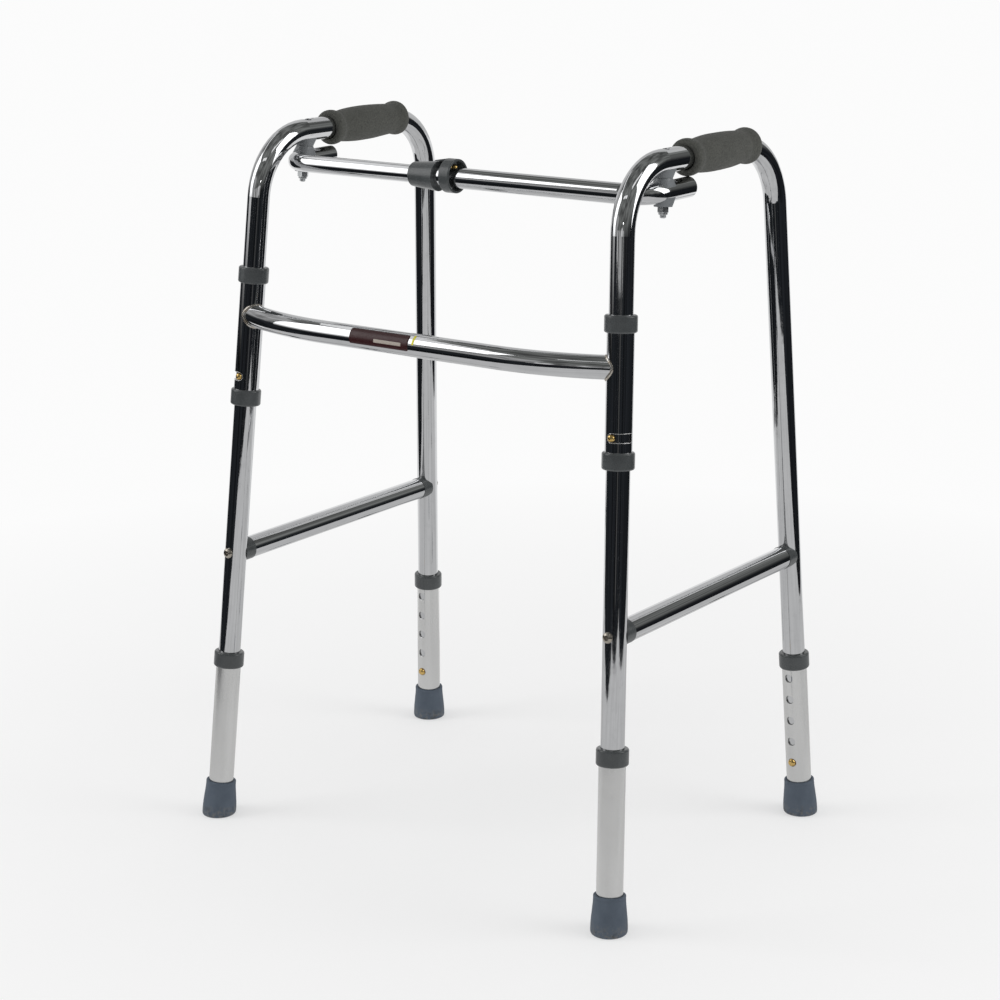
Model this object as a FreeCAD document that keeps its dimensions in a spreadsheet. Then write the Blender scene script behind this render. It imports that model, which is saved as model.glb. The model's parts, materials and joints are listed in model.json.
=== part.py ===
import FreeCAD, Part
import math
import os
import Sketcher
from FreeCAD import Matrix, Placement, Vector

# A folding walking frame of bent aluminium tube, in millimetres.
# The origin is on the floor at the centre of the four feet, and +Z is up. The front of the frame,
# which has the crossbar, faces -Y, and the person stands at the open side, +Y. "left" is -X.
# Each side frame is one tube bent into an upturned U. It leans inwards, so it is drawn in its own
# plane: u runs along +Y, and v runs up the leaning plane.

DIMENSIONS = {
    # stance
    "foot_track": 555.0,
    "foot_base": 400.6,
    "side_lean_angle": 2.651,
    "front_lean_angle": 5.5,
    "rear_lean_angle": 2.545,
    # side frames
    "leg_outer": 25.4,
    "leg_wall": 1.4,
    "leg_end_height": 50.0,
    "front_corner_height": 790.4,
    "rear_corner_height": 786.8,
    "front_bend": 73.0,
    "rear_bend": 70.0,
    # grips
    "grip_front": -13.6,
    "grip_rear": 113.5,
    "grip_flange": 39.6,
    "grip_neck": 36.0,
    "grip_belly": 39.6,
    "grip_flange_length": 15.0,
    "grip_round": 4.0,
    # stretchers between the legs of one side
    "stretcher_height": 316.0,
    "stretcher_outer": 25.4,
    "stretcher_wall": 1.2,
    "cap_outer": 26.2,
    "cap_flange": 8.0,
    "cap_plug": 14.0,
    "cap_wing": 5.0,
    "screw_shank": 3.9,
    "screw_bore": 4.0,
    "screw_head": 11.6,
    "screw_head_height": 3.2,
    "screw_length": 45.0,
    "screw_seat_gap": 0.15,
    "recess_width": 1.1,
    "recess_length": 5.2,
    "recess_depth": 1.5,
    # leg extensions
    "extension_outer": 28.6,
    "extension_inner": 26.0,
    "extension_bottom": 8.0,
    "extension_top": 195.0,
    "hole_size": 10.0,
    "hole_pitch": 26.0,
    "hole_count": 5,
    "first_hole_height": 66.0,
    "extension_collar_height": 180.0,
    "extension_collar_outer": 34.6,
    "collar_length": 18.2,
    "collar_lip": 2.6,
    "collar_bore_gap": 0.1,
    "collar_round": 2.2,
    # rubber feet
    "ferrule_top": 41.3,
    "ferrule_sink": 6.0,
    "ferrule_neck": 34.8,
    "ferrule_foot": 39.6,
    "ferrule_rim": 0.4,
    "ferrule_rim_length": 3.0,
    "ferrule_band": 9.0,
    "ferrule_rim_round": 0.6,
    # sleeves that the front legs turn in
    "sleeve_outer": 28.6,
    "sleeve_inner": 26.0,
    "sleeve_bottom": 490.6,
    "sleeve_top": 642.4,
    "lower_sleeve_collar": 488.0,
    "upper_sleeve_collar": 626.6,
    "sleeve_collar_outer": 34.2,
    "sleeve_button_height": 521.0,
    "sleeve_button_sink": 0.2,
    "slot_height": 9.5,
    "slot_angle": 100.0,
    # crossbar
    "crossbar_outer": 25.4,
    "crossbar_wall": 1.5,
    "crossbar_height": 590.8,
    "crossbar_front": 173.3,
    "crossbar_straight": 115.0,
    "crossbar_bend": 310.0,
    "crossbar_turn": 25.8,
    "weld_size": 1.9,
    "crossbar_overrun": 1.02,
    "label_start": -70.5,
    "label_length": 80.0,
    "label_thickness": 0.2,
    "label_angle": 86.0,
    "label_top_angle": 64.0,
    # snap buttons
    "button_size": 7.8,
    "leg_button_size": 9.0,
    "button_dome": 2.9,
    "button_gap": 0.3,
    "button_rim": 0.3,
    "neck_depth": 0.85,
    "neck_sink": 0.7,
    "leg_hole": 8.4,
    "leg_button_hole": 9.6,
    "spring_width": 7.6,
    "spring_thickness": 0.7,
    "spring_length": 44.0,
    "spring_round": 8.0,
    "spring_gap": 0.9,
    # telescopic bar
    "bar_height": 757.0,
    "bar_front": 85.5,
    "bar_rear_end": 7.0,
    "bar_bend": 30.0,
    "bar_outer": 22.2,
    "bar_outer_bore": 19.8,
    "bar_inner": 19.4,
    "bar_inner_bore": 17.0,
    "outer_bar_start": -46.0,
    "inner_bar_end": 62.0,
    "bar_collar_start": -58.0,
    "bar_collar_end": -23.0,
    "bar_collar_small": 26.6,
    "bar_collar_large": 32.2,
    "bar_collar_chamfer": 1.5,
    "bar_button_place": -3.0,
    "bar_drain_place": 57.0,
    "bar_drain_size": 3.4,
    # release ring on the bar
    "ring_start": -11.0,
    "ring_length": 13.0,
    "ring_outer": 36.7,
    "ring_wall": 2.5,
    "ring_lift": 1.85,
    "ring_boss": 5.6,
    "ring_round": 0.8,
    "ring_gap": 0.4,
    "arm_start_angle": -50.0,
    "arm_angle": 150.0,
    # pivot bolts of the bar
    "bolt_place": -54.0,
    "bolt_shank": 6.3,
    "bolt_bore": 6.6,
    "bolt_head": 9.5,
    "bolt_head_height": 6.3,
    "bolt_head_depth": 1.4,
    "bolt_chamfer": 0.6,
    "bolt_tip_chamfer": 0.8,
    "bolt_socket": 4.8,
    "bolt_socket_depth": 3.0,
    "access_hole": 10.6,
    "rivet_hole": 3.4,
    "rivet_hole_place": -41.5,
    "spacer_outer": 9.8,
    "spacer_floor": 9.7,
    "nut_flats": 11.1,
    "nut_height": 6.2,
    "nut_collar": 9.6,
    "nut_collar_height": 2.0,
    "nut_gap": 0.1,
    "nut_chamfer": 0.6,
    "bolt_tail": 3.4,
    # saddles between the bar and the side tube
    "saddle_width": 19.5,
    "saddle_length": 22.0,
    "saddle_joint": 14.6,
    "saddle_gap": 0.3,
    "saddle_wing": 6.4,
    "saddle_tip": 19.0,
    "saddle_base": 27.0,
    "lower_saddle_wing": 2.5,
    "lower_saddle_bottom": 14.6,
}

SIDES = {"left": -1, "right": 1}
ENDS = ("front", "rear")
UP = Vector(0, 0, 1)
RIGHT = Vector(1, 0, 0)
FORWARD = Vector(0, -1, 0)
BACKWARD = Vector(0, 1, 0)


class Size:
    """A number together with the spreadsheet formula that gives it."""

    def __init__(self, value, formula):
        self.value = value
        self.formula = formula

    def __add__(self, other):
        other = as_size(other)
        return Size(self.value + other.value, f"({self.formula} + {other.formula})")

    def __sub__(self, other):
        other = as_size(other)
        return Size(self.value - other.value, f"({self.formula} - {other.formula})")

    def __mul__(self, other):
        other = as_size(other)
        return Size(self.value * other.value, f"({self.formula} * {other.formula})")

    def __truediv__(self, other):
        other = as_size(other)
        return Size(self.value / other.value, f"({self.formula} / {other.formula})")

    def __neg__(self):
        return Size(-self.value, f"(0 - {self.formula})")


def as_size(number):
    return number if isinstance(number, Size) else Size(number, repr(float(number)))


def sine(angle):
    return Size(math.sin(math.radians(angle.value)), f"sin({angle.formula})")


def cosine(angle):
    return Size(math.cos(math.radians(angle.value)), f"cos({angle.formula})")


def tangent(angle):
    return Size(math.tan(math.radians(angle.value)), f"tan({angle.formula})")


class Dims:
    """The driving dimensions, each as a Size that refers to its cell."""


def fill_sheet(document):
    sheet = document.addObject("Spreadsheet::Sheet", "Dims")
    dims = Dims()
    for row, (alias, value) in enumerate(DIMENSIONS.items(), start=1):
        sheet.set(f"A{row}", alias)
        sheet.set(f"B{row}", str(value))
        sheet.setAlias(f"B{row}", alias)
        setattr(dims, alias, Size(float(value), f"Dims.{alias}"))
    document.recompute()
    return dims


os.makedirs("parts", exist_ok=True)
doc = FreeCAD.newDocument("WalkingFrame")
d = fill_sheet(doc)
nodes = {}


# ---------------------------------------------------------------- placing

def frame(origin, z_axis, x_hint=RIGHT):
    """A placement with its Z along z_axis and its X as near x_hint as that allows."""
    z = Vector(z_axis).normalize()
    y = z.cross(x_hint).normalize()
    x = y.cross(z)
    return Placement(Matrix(
        x.x, y.x, z.x, origin.x,
        x.y, y.y, z.y, origin.y,
        x.z, y.z, z.z, origin.z,
        0, 0, 0, 1,
    ))


def lean():
    """How far a side frame leans inwards for each millimetre of height."""
    return math.tan(math.radians(d.side_lean_angle.value))


def plane_point(side, u, v):
    """The point of a side frame's plane at u along +Y and v up the plane."""
    angle = math.radians(d.side_lean_angle.value)
    inwards = v * math.sin(angle)
    return Vector(SIDES[side] * (d.foot_track.value / 2 - inwards), u, v * math.cos(angle))


def leg_direction(side, end):
    """Up along a leg, with a rise of exactly one."""
    slant = math.cos(math.radians(d.side_lean_angle.value))
    if end == "front":
        rake = math.tan(math.radians(d.front_lean_angle.value))
    else:
        rake = -math.tan(math.radians(d.rear_lean_angle.value))
    return Vector(-SIDES[side] * lean(), rake / slant, 1)


def leg_point(side, end, height):
    half_base = d.foot_base.value / 2
    foot = Vector(SIDES[side] * d.foot_track.value / 2, -half_base if end == "front" else half_base, 0)
    return foot + leg_direction(side, end) * height


def leg_frame(side, end, height, x_hint=RIGHT):
    return frame(leg_point(side, end, height), leg_direction(side, end), x_hint)


def button_direction(end):
    """The way a leg's snap button faces: into the space between the two legs of a side."""
    return BACKWARD if end == "front" else FORWARD


def across(direction, axis):
    """The part of a direction that is square to an axis."""
    axis = Vector(axis).normalize()
    return (direction - axis * direction.dot(axis)).normalize()


# ---------------------------------------------------------------- drawing

def bind(item, prop, size):
    item.setExpression(prop, as_size(size).formula)


def new_body(name):
    return doc.addObject("PartDesign::Body", name)


def new_sketch(body, plane, name):
    sketch = body.newObject("Sketcher::SketchObject", name)
    support = [f for f in body.Origin.OriginFeatures if f.Role == plane][0]
    sketch.AttachmentSupport = [(support, "")]
    sketch.MapMode = "FlatFace"
    return sketch


def place_point(sketch, geometry, end, point):
    """Ties one point of a sketch to two sizes measured from the sketch's origin."""
    for kind, size in zip(("DistanceX", "DistanceY"), point):
        size = as_size(size)
        number = sketch.addConstraint(Sketcher.Constraint(kind, -1, 1, geometry, end, size.value))
        bind(sketch, f"Constraints[{number}]", size)


def draw_circle(sketch, centre, radius):
    x, y = (as_size(c) for c in centre)
    radius = as_size(radius)
    ring = sketch.addGeometry(Part.Circle(Vector(x.value, y.value, 0), UP, radius.value))
    place_point(sketch, ring, 3, (x, y))
    number = sketch.addConstraint(Sketcher.Constraint("Radius", ring, radius.value))
    bind(sketch, f"Constraints[{number}]", radius)


def draw_outline(sketch, points):
    """A closed outline of straight lines."""
    flat = [Vector(as_size(x).value, as_size(y).value, 0) for x, y in points]
    count = len(points)
    lines = [sketch.addGeometry(Part.LineSegment(flat[i], flat[(i + 1) % count])) for i in range(count)]
    for i, line in enumerate(lines):
        sketch.addConstraint(Sketcher.Constraint("Coincident", line, 2, lines[(i + 1) % count], 1))
        place_point(sketch, line, 1, points[i])


def draw_route(sketch, points, radii):
    """An open route of straight runs with a tangent arc at each inner point. Returns its edge count."""
    flat = [Vector(as_size(x).value, as_size(y).value, 0) for x, y in points]
    starts = [flat[0]]
    arcs = []
    for i, radius in enumerate(radii, start=1):
        arc = corner_arc(flat[i - 1], flat[i], flat[i + 1], radius.value)
        starts.append(arc[2])
        arcs.append(arc)
    ends = [arc[0] for arc in arcs] + [flat[-1]]
    lines = [sketch.addGeometry(Part.LineSegment(a, b)) for a, b in zip(starts, ends)]
    for i, (first, middle, last) in enumerate(arcs):
        turn = sketch.addGeometry(Part.Arc(first, middle, last))
        begins = (turn, 1, 2)
        if (sketch.getPoint(turn, 1) - first).Length > (sketch.getPoint(turn, 2) - first).Length:
            begins = (turn, 2, 1)
        sketch.addConstraint(Sketcher.Constraint("Tangent", lines[i], 2, turn, begins[1]))
        sketch.addConstraint(Sketcher.Constraint("Tangent", turn, begins[2], lines[i + 1], 1))
        number = sketch.addConstraint(Sketcher.Constraint("Radius", turn, radii[i].value))
        bind(sketch, f"Constraints[{number}]", radii[i])
        corner = sketch.addGeometry(Part.Point(flat[i + 1]), True)
        for line in (lines[i], lines[i + 1]):
            sketch.addConstraint(Sketcher.Constraint("PointOnObject", corner, 1, line))
        place_point(sketch, corner, 1, points[i + 1])
    place_point(sketch, lines[0], 1, points[0])
    place_point(sketch, lines[-1], 2, points[-1])
    return len(lines) + len(arcs)


def corner_arc(before, corner, after, radius):
    """First, middle and last point of the arc that rounds a corner."""
    arriving = (corner - before).normalize()
    leaving = (after - corner).normalize()
    turn = arriving.getAngle(leaving)
    cut = radius * math.tan(turn / 2)
    inwards = (leaving - arriving).normalize()
    centre = corner + inwards * (radius / math.cos(turn / 2))
    return corner - arriving * cut, centre - inwards * radius, corner + leaving * cut


def pad(body, sketch, length):
    feature = body.newObject("PartDesign::Pad", f"{body.Name}_pad")
    feature.Profile = sketch
    bind(feature, "Length", length)
    sketch.Visibility = False


def revolve(body, sketch, angle=360.0):
    feature = body.newObject("PartDesign::Revolution", f"{body.Name}_turn")
    feature.Profile = sketch
    feature.ReferenceAxis = (sketch, ["V_Axis"])
    bind(feature, "Angle", angle)


def turned(name, outline, angle=360.0):
    """A body turned about its own Z from an outline of radius and height."""
    body = new_body(name)
    sketch = new_sketch(body, "XZ_Plane", f"{name}_profile")
    draw_outline(sketch, outline)
    revolve(body, sketch, angle)
    return body


def ring_outline(inner, outer, bottom, top):
    return [(inner, bottom), (outer, bottom), (outer, top), (inner, top)]


def round_rims(body, radius, rims):
    """Rounds the circular edges that have these radii and heights."""
    doc.recompute()
    base = body.Tip
    names = []
    for number, edge in enumerate(base.Shape.Edges, start=1):
        if not isinstance(edge.Curve, Part.Circle):
            continue
        for size, height in rims:
            same_size = abs(edge.Curve.Radius - as_size(size).value) < 1e-4
            if same_size and abs(edge.Curve.Center.z - as_size(height).value) < 1e-4:
                names.append(f"Edge{number}")
    if len(names) != len(rims):
        raise RuntimeError(f"{body.Name}: {len(names)} of {len(rims)} rims found")
    feature = body.newObject("PartDesign::Fillet", f"{body.Name}_round")
    feature.Base = (base, names)
    bind(feature, "Radius", radius)


def straight_tube(name, outer, inner, length):
    """A tube along its own +Z."""
    body = new_body(name)
    sketch = new_sketch(body, "XY_Plane", f"{name}_section")
    draw_circle(sketch, (0, 0), outer / 2)
    draw_circle(sketch, (0, 0), inner / 2)
    pad(body, sketch, length)
    return body


def bent_rod(name, radius, route, bends, section_plane, path_plane="XY_Plane"):
    """A solid round rod along a route that starts square to section_plane."""
    body = new_body(name)
    path = new_sketch(body, path_plane, f"{name}_route")
    edges = draw_route(path, route, bends)
    section = new_sketch(body, section_plane, f"{name}_section")
    draw_circle(section, (0, 0), radius)
    sweep(body, section, path, edges)
    return body


def sweep(body, section, path, edges):
    feature = body.newObject("PartDesign::AdditivePipe", f"{body.Name}_sweep")
    feature.Profile = section
    feature.Spine = (path, [f"Edge{i}" for i in range(1, edges + 1)])


def cylinder(name, radius, length, place):
    tool = doc.addObject("Part::Cylinder", name)
    bind(tool, "Radius", radius)
    bind(tool, "Height", length)
    tool.Placement = place
    return tool


def box(name, sizes, place):
    """A block centred on its placement in X and Y, rising from it in Z."""
    block = doc.addObject("Part::Box", name)
    for prop, size in zip(("Length", "Width", "Height"), sizes):
        bind(block, prop, size)
    centred = Vector(-as_size(sizes[0]).value / 2, -as_size(sizes[1]).value / 2, 0)
    block.Placement = place.multiply(Placement(centred, FreeCAD.Rotation()))
    return block


def cut(name, base, tools):
    result = doc.addObject("Part::Cut", name)
    result.Base = base
    result.Tool = tools[0] if len(tools) == 1 else fuse(f"{name}_tools", tools)
    return result


def fuse(name, pieces):
    result = doc.addObject("Part::MultiFuse", name)
    result.Shapes = pieces
    return result


def common(name, pieces):
    result = doc.addObject("Part::MultiCommon", name)
    result.Shapes = pieces
    return result


def group(name, pieces):
    result = doc.addObject("Part::Compound", name)
    result.Links = pieces
    return result


def keep(node, item, place=None):
    """Names a finished sub-part and puts it in its place."""
    if place is not None:
        item.Placement = place
    item.Label = node
    nodes[node] = item


# ---------------------------------------------------------------- side frames

def side_route():
    """The side tube's corners in a frame that starts at the foot of the front leg and rises along it."""
    slope = tangent(d.front_lean_angle)
    start = (-d.foot_base / 2 + slope * d.leg_end_height, d.leg_end_height)
    front = (-d.foot_base / 2 + slope * d.front_corner_height, d.front_corner_height)
    rear_slope = tangent(d.rear_lean_angle)
    rear = (d.foot_base / 2 - rear_slope * d.rear_corner_height, d.rear_corner_height)
    end = (d.foot_base / 2 - rear_slope * d.leg_end_height, d.leg_end_height)
    route = []
    for u, v in (start, front, rear, end):
        along = u - start[0]
        up = v - start[1]
        x = along * cosine(d.front_lean_angle) - up * sine(d.front_lean_angle)
        y = along * sine(d.front_lean_angle) + up * cosine(d.front_lean_angle)
        route.append((x, y))
    route[0] = (0, 0)
    route[1] = (0, route[1][1])
    return route


def side_frame_place(side):
    """Where the side tube's route starts, with its Y up the front leg and its Z outwards to +X."""
    upwards = leg_direction(side, "front").normalize()
    outwards = across(RIGHT, plane_point(side, 0, 1) - plane_point(side, 0, 0))
    start = plane_point(side, 0, d.leg_end_height.value)
    start.y = -d.foot_base.value / 2 + d.leg_end_height.value * math.tan(math.radians(d.front_lean_angle.value))
    return frame(start, outwards, upwards.cross(outwards))


def side_rod(name, radius, side):
    body = bent_rod(name, radius, side_route(), (d.front_bend, d.rear_bend), "XZ_Plane")
    body.Placement = side_frame_place(side)
    return body


def drill(name, radius, origin, direction, length):
    return cylinder(name, radius, length, frame(origin, direction, UP if abs(direction.z) < 0.7 else RIGHT))


def leg_drill(name, radius, side, end, height, facing):
    """A drill that starts on a leg's axis and goes out through one wall."""
    direction = across(facing, leg_direction(side, end))
    return drill(name, radius, leg_point(side, end, height), direction, d.leg_outer)


def make_side_tube(side):
    bore = side_rod(f"side_bore_{side}", d.leg_outer / 2 - d.leg_wall, side)
    pivot = bolt_frame(side)
    rise = tube_rise()
    crown = pivot.multVec(Vector(0, 0, rise.value))
    upwards = pivot.Rotation.multVec(UP)
    tools = [bore]
    for end in ENDS:
        tools.append(leg_drill(f"button_hole_{end}_{side}", d.leg_button_hole / 2, side, end,
                               d.first_hole_height.value, button_direction(end)))
        tools.append(leg_drill(f"screw_hole_out_{end}_{side}", d.screw_bore / 2, side, end,
                               d.stretcher_height.value, -button_direction(end)))
        tools.append(leg_drill(f"screw_hole_in_{end}_{side}", d.screw_bore / 2, side, end,
                               d.stretcher_height.value, button_direction(end)))
    tools.append(leg_drill(f"sleeve_hole_{side}", d.leg_hole / 2, side, "front",
                           d.sleeve_button_height.value, FORWARD))
    tools.append(drill(f"bolt_hole_{side}", d.bolt_bore / 2, crown, -upwards, d.leg_outer))
    tools.append(drill(f"access_hole_{side}", d.access_hole / 2, crown, upwards, d.leg_outer))
    behind = top_point(side, d.rivet_hole_place.value)
    tools.append(drill(f"rivet_hole_{side}", d.rivet_hole / 2, behind, upwards, d.leg_outer))
    core = side_rod(f"side_blank_{side}", d.leg_outer / 2, side)
    keep(f"side_tube_{side}", cut(f"side_tube_{side}", core, tools))


def top_point(side, u):
    """A point on the axis of the side tube's straight top."""
    slope = tangent(d.front_lean_angle).value
    rear_slope = tangent(d.rear_lean_angle).value
    front_u = -d.foot_base.value / 2 + slope * d.front_corner_height.value
    rear_u = d.foot_base.value / 2 - rear_slope * d.rear_corner_height.value
    share = (u - front_u) / (rear_u - front_u)
    v = d.front_corner_height.value + share * (d.rear_corner_height.value - d.front_corner_height.value)
    return plane_point(side, u, v)


def make_grip(side):
    """A foam grip with a flange at each end, shallow necks and a swollen middle."""
    belly_start, belly_end, flange_land = 0.38, 0.62, 0.6
    length = d.grip_rear - d.grip_front
    flange = d.grip_flange_length
    outline = [
        (0, 0),
        (d.grip_flange / 2, 0),
        (d.grip_flange / 2, flange * flange_land),
        (d.grip_neck / 2, flange),
        (d.grip_belly / 2, length * belly_start),
        (d.grip_belly / 2, length * belly_end),
        (d.grip_neck / 2, length - flange),
        (d.grip_flange / 2, length - flange * flange_land),
        (d.grip_flange / 2, length),
        (0, length),
    ]
    blank = turned(f"grip_blank_{side}", outline)
    round_rims(blank, d.grip_round, [(d.grip_flange / 2, 0), (d.grip_flange / 2, length)])
    front = top_point(side, d.grip_front.value)
    rear = top_point(side, d.grip_rear.value)
    blank.Placement = frame(front, rear - front)
    rod = side_rod(f"grip_bore_{side}", d.leg_outer / 2, side)
    keep(f"grip_{side}", cut(f"grip_{side}", blank, [rod]))


# ---------------------------------------------------------------- stretchers

def stretcher_end(side, end):
    """The point on a leg's axis that the stretcher points at."""
    return leg_point(side, end, d.stretcher_height.value)


def make_stretcher(side):
    front = stretcher_end(side, "front")
    rear = stretcher_end(side, "rear")
    along = (rear - front).normalize()
    trim = d.leg_outer.value / 2 + d.cap_flange.value
    length = (rear - front).Length - 2 * trim
    tube = straight_tube(f"stretcher_{side}", d.stretcher_outer,
                         d.stretcher_outer - d.stretcher_wall * 2, stretcher_length())
    if abs(stretcher_length().value - length) > 0.01:
        raise RuntimeError("the stretcher's length disagrees with its legs")
    keep(f"stretcher_{side}", tube, frame(front + along * trim, along))
    screws = []
    for end in ENDS:
        screws.append(make_screw(side, end))
        make_cap(side, end)
    keep(f"stretcher_screws_{side}", group(f"stretcher_screws_{side}", screws))


def stretcher_length():
    """Between the two caps' flanges."""
    slant = cosine(d.side_lean_angle)
    run = (tangent(d.front_lean_angle) + tangent(d.rear_lean_angle)) * (d.stretcher_height / slant)
    return d.foot_base - run - d.leg_outer - d.cap_flange * 2


def make_cap(side, end):
    """A plastic end cap: a flange that is coped to the leg, and a plug inside the stretcher."""
    flange_end = d.leg_outer / 2 + d.cap_flange
    plug = d.stretcher_outer / 2 - d.stretcher_wall
    outline = [
        (0, d.cap_wing),
        (d.cap_outer / 2, d.cap_wing),
        (d.cap_outer / 2, flange_end),
        (plug, flange_end),
        (plug, flange_end + d.cap_plug),
        (0, flange_end + d.cap_plug),
    ]
    name = f"stretcher_cap_{end}_{side}"
    blank = turned(f"{name}_blank", outline)
    blank.Placement = frame(stretcher_end(side, end), button_direction(end))
    leg = cylinder(f"{name}_leg", d.leg_outer / 2, d.leg_outer * 4,
                   leg_frame(side, end, d.stretcher_height.value - d.leg_outer.value * 2))
    bore = drill(f"{name}_bore", d.screw_bore / 2, stretcher_end(side, end),
                 -screw_direction(side, end), d.screw_length)
    keep(name, cut(name, blank, [leg, bore]))


def screw_direction(side, end):
    """The way a stretcher screw's head faces: away from the stretcher, square to the leg."""
    return across(-button_direction(end), leg_direction(side, end))


def make_screw(side, end):
    """A cross-recess pan-head screw through the leg into the cap."""
    name = f"screw_{end}_{side}"
    head = d.screw_head / 2
    height = d.screw_head_height
    outline = [
        (0, 0),
        (d.screw_shank / 2, 0),
        (d.screw_shank / 2, d.screw_length),
        (head, d.screw_length),
        (head, d.screw_length + height * 0.4),
        (head * 0.86, d.screw_length + height * 0.75),
        (head * 0.5, d.screw_length + height),
        (0, d.screw_length + height),
    ]
    blank = turned(f"{name}_blank", outline)
    outwards = screw_direction(side, end)
    seat = d.leg_outer.value / 2 + d.screw_seat_gap.value
    place = frame(stretcher_end(side, end) + outwards * (seat - d.screw_length.value), outwards)
    blank.Placement = place
    top = d.screw_length.value + height.value - d.recess_depth.value
    slots = []
    for turn, sizes in enumerate(((d.recess_width, d.recess_length), (d.recess_length, d.recess_width))):
        spot = place.multiply(Placement(Vector(0, 0, top), FreeCAD.Rotation()))
        slots.append(box(f"{name}_slot{turn}", (*sizes, d.recess_depth * 2), spot))
    return cut(name, blank, slots)


# ---------------------------------------------------------------- leg extensions

def make_extension(side, end):
    """The lower leg, which slides on the leg and has a row of holes for its snap button."""
    node = f"extension_{end}_{side}"
    body = straight_tube(node, d.extension_outer, d.extension_inner, d.extension_top - d.extension_bottom)
    sketch = new_sketch(body, "YZ_Plane", f"{node}_hole")
    draw_circle(sketch, (0, d.first_hole_height - d.extension_bottom), d.hole_size / 2)
    doc.recompute()
    before = body.Shape.Volume
    hole = body.newObject("PartDesign::Pocket", f"{node}_pocket")
    hole.Profile = sketch
    hole.Reversed = True
    bind(hole, "Length", d.extension_outer)
    doc.recompute()
    if hole.Shape.Volume >= before:
        raise RuntimeError(f"{node}: the hole cuts nothing")
    row = body.newObject("PartDesign::LinearPattern", f"{node}_row")
    row.Originals = [hole]
    row.Direction = (sketch, ["V_Axis"])
    bind(row, "Length", d.hole_pitch * (d.hole_count - 1))
    bind(row, "Occurrences", d.hole_count)
    body.Tip = row
    place = leg_frame(side, end, d.extension_bottom.value, button_direction(end))
    keep(node, body, place)


def collar_outline(tube, bush):
    """A plastic ring pressed over a tube's end. Its lip has a bore of radius bush, to run on the leg."""
    return [
        (tube / 2, 0),
        (d.extension_collar_outer / 2, 0),
        (d.extension_collar_outer / 2, d.collar_length),
        (bush, d.collar_length),
        (bush, d.collar_length - d.collar_lip),
        (tube / 2, d.collar_length - d.collar_lip),
    ]


def leg_bush():
    """The radius of a bore that runs on the leg."""
    return d.leg_outer / 2 + d.collar_bore_gap


def make_extension_collar(side, end):
    node = f"extension_collar_{end}_{side}"
    body = turned(node, collar_outline(d.extension_outer, leg_bush()))
    outer = d.extension_collar_outer / 2
    round_rims(body, d.collar_round, [(outer, 0), (outer, d.collar_length)])
    keep(node, body, leg_frame(side, end, d.extension_collar_height.value))


def make_ferrule(side, end):
    """A rubber foot, cut level so that it stands flat on the floor although its leg slants."""
    node = f"ferrule_{end}_{side}"
    rim = d.ferrule_neck / 2 + d.ferrule_rim
    top = d.ferrule_top + d.ferrule_sink
    floor = d.extension_bottom + d.ferrule_sink
    outline = [
        (0, 0),
        (d.ferrule_foot / 2, 0),
        (d.ferrule_foot / 2, d.ferrule_sink + d.ferrule_band),
        (d.ferrule_neck / 2, top - d.ferrule_rim_length * 2),
        (rim - d.ferrule_rim_round, top - d.ferrule_rim_length),
        (rim, top - d.ferrule_rim_length + d.ferrule_rim_round),
        (rim, top - d.ferrule_rim_round),
        (rim - d.ferrule_rim_round, top),
        (d.extension_outer / 2, top),
        (d.extension_outer / 2, floor),
        (0, floor),
    ]
    blank = turned(f"{node}_blank", outline)
    place = leg_frame(side, end, 0)
    blank.Placement = place.multiply(Placement(Vector(0, 0, -d.ferrule_sink.value), FreeCAD.Rotation()))
    foot = leg_point(side, end, 0)
    depth = d.ferrule_sink * 4
    ground = box(f"{node}_ground", (d.ferrule_foot * 3, d.ferrule_foot * 3, depth),
                 Placement(Vector(foot.x, foot.y, -depth.value), FreeCAD.Rotation()))
    keep(node, cut(node, blank, [ground]))


# ---------------------------------------------------------------- snap buttons

def dome_outline(start, base, size):
    """A round-topped button from a flat back at start, with its dome above base."""
    radius = size / 2
    return [
        (0, start),
        (radius, start),
        (radius, base),
        (radius * 0.92, base + d.button_dome * 0.38),
        (radius * 0.71, base + d.button_dome * 0.7),
        (radius * 0.38, base + d.button_dome * 0.93),
        (0, base + d.button_dome),
    ]


def button_frame(side, end, height, facing):
    """Starts on the leg's axis and points out through the button."""
    return frame(leg_point(side, end, height), across(facing, leg_direction(side, end)), UP)


def make_leg_button(side, end):
    """The dome stands clear of the extension, and the neck ends inside the leg's wall."""
    node = f"leg_button_{end}_{side}"
    surface = d.extension_outer / 2 + d.button_gap
    neck_start = d.leg_outer / 2 - d.leg_wall - d.neck_depth
    neck_end = d.leg_outer / 2 - d.neck_sink
    place = button_frame(side, end, d.first_hole_height.value, button_direction(end))
    dome = turned(f"{node}_dome", dome_outline(surface, surface + d.button_rim, d.leg_button_size))
    dome.Placement = place
    neck = cylinder(f"{node}_neck", d.leg_button_size / 2, neck_end - neck_start,
                    place.multiply(Placement(Vector(0, 0, neck_start.value), FreeCAD.Rotation())))
    keep(node, group(node, [dome, neck]))


def make_sleeve_button(side):
    """Goes through the leg and stands in the sleeve's slot."""
    node = f"sleeve_button_{side}"
    start = d.leg_outer / 2 - d.leg_wall - d.neck_depth
    body = turned(node, dome_outline(start, d.sleeve_outer / 2 - d.sleeve_button_sink, d.button_size))
    keep(node, body, button_frame(side, "front", d.sleeve_button_height.value, FORWARD))


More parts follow.
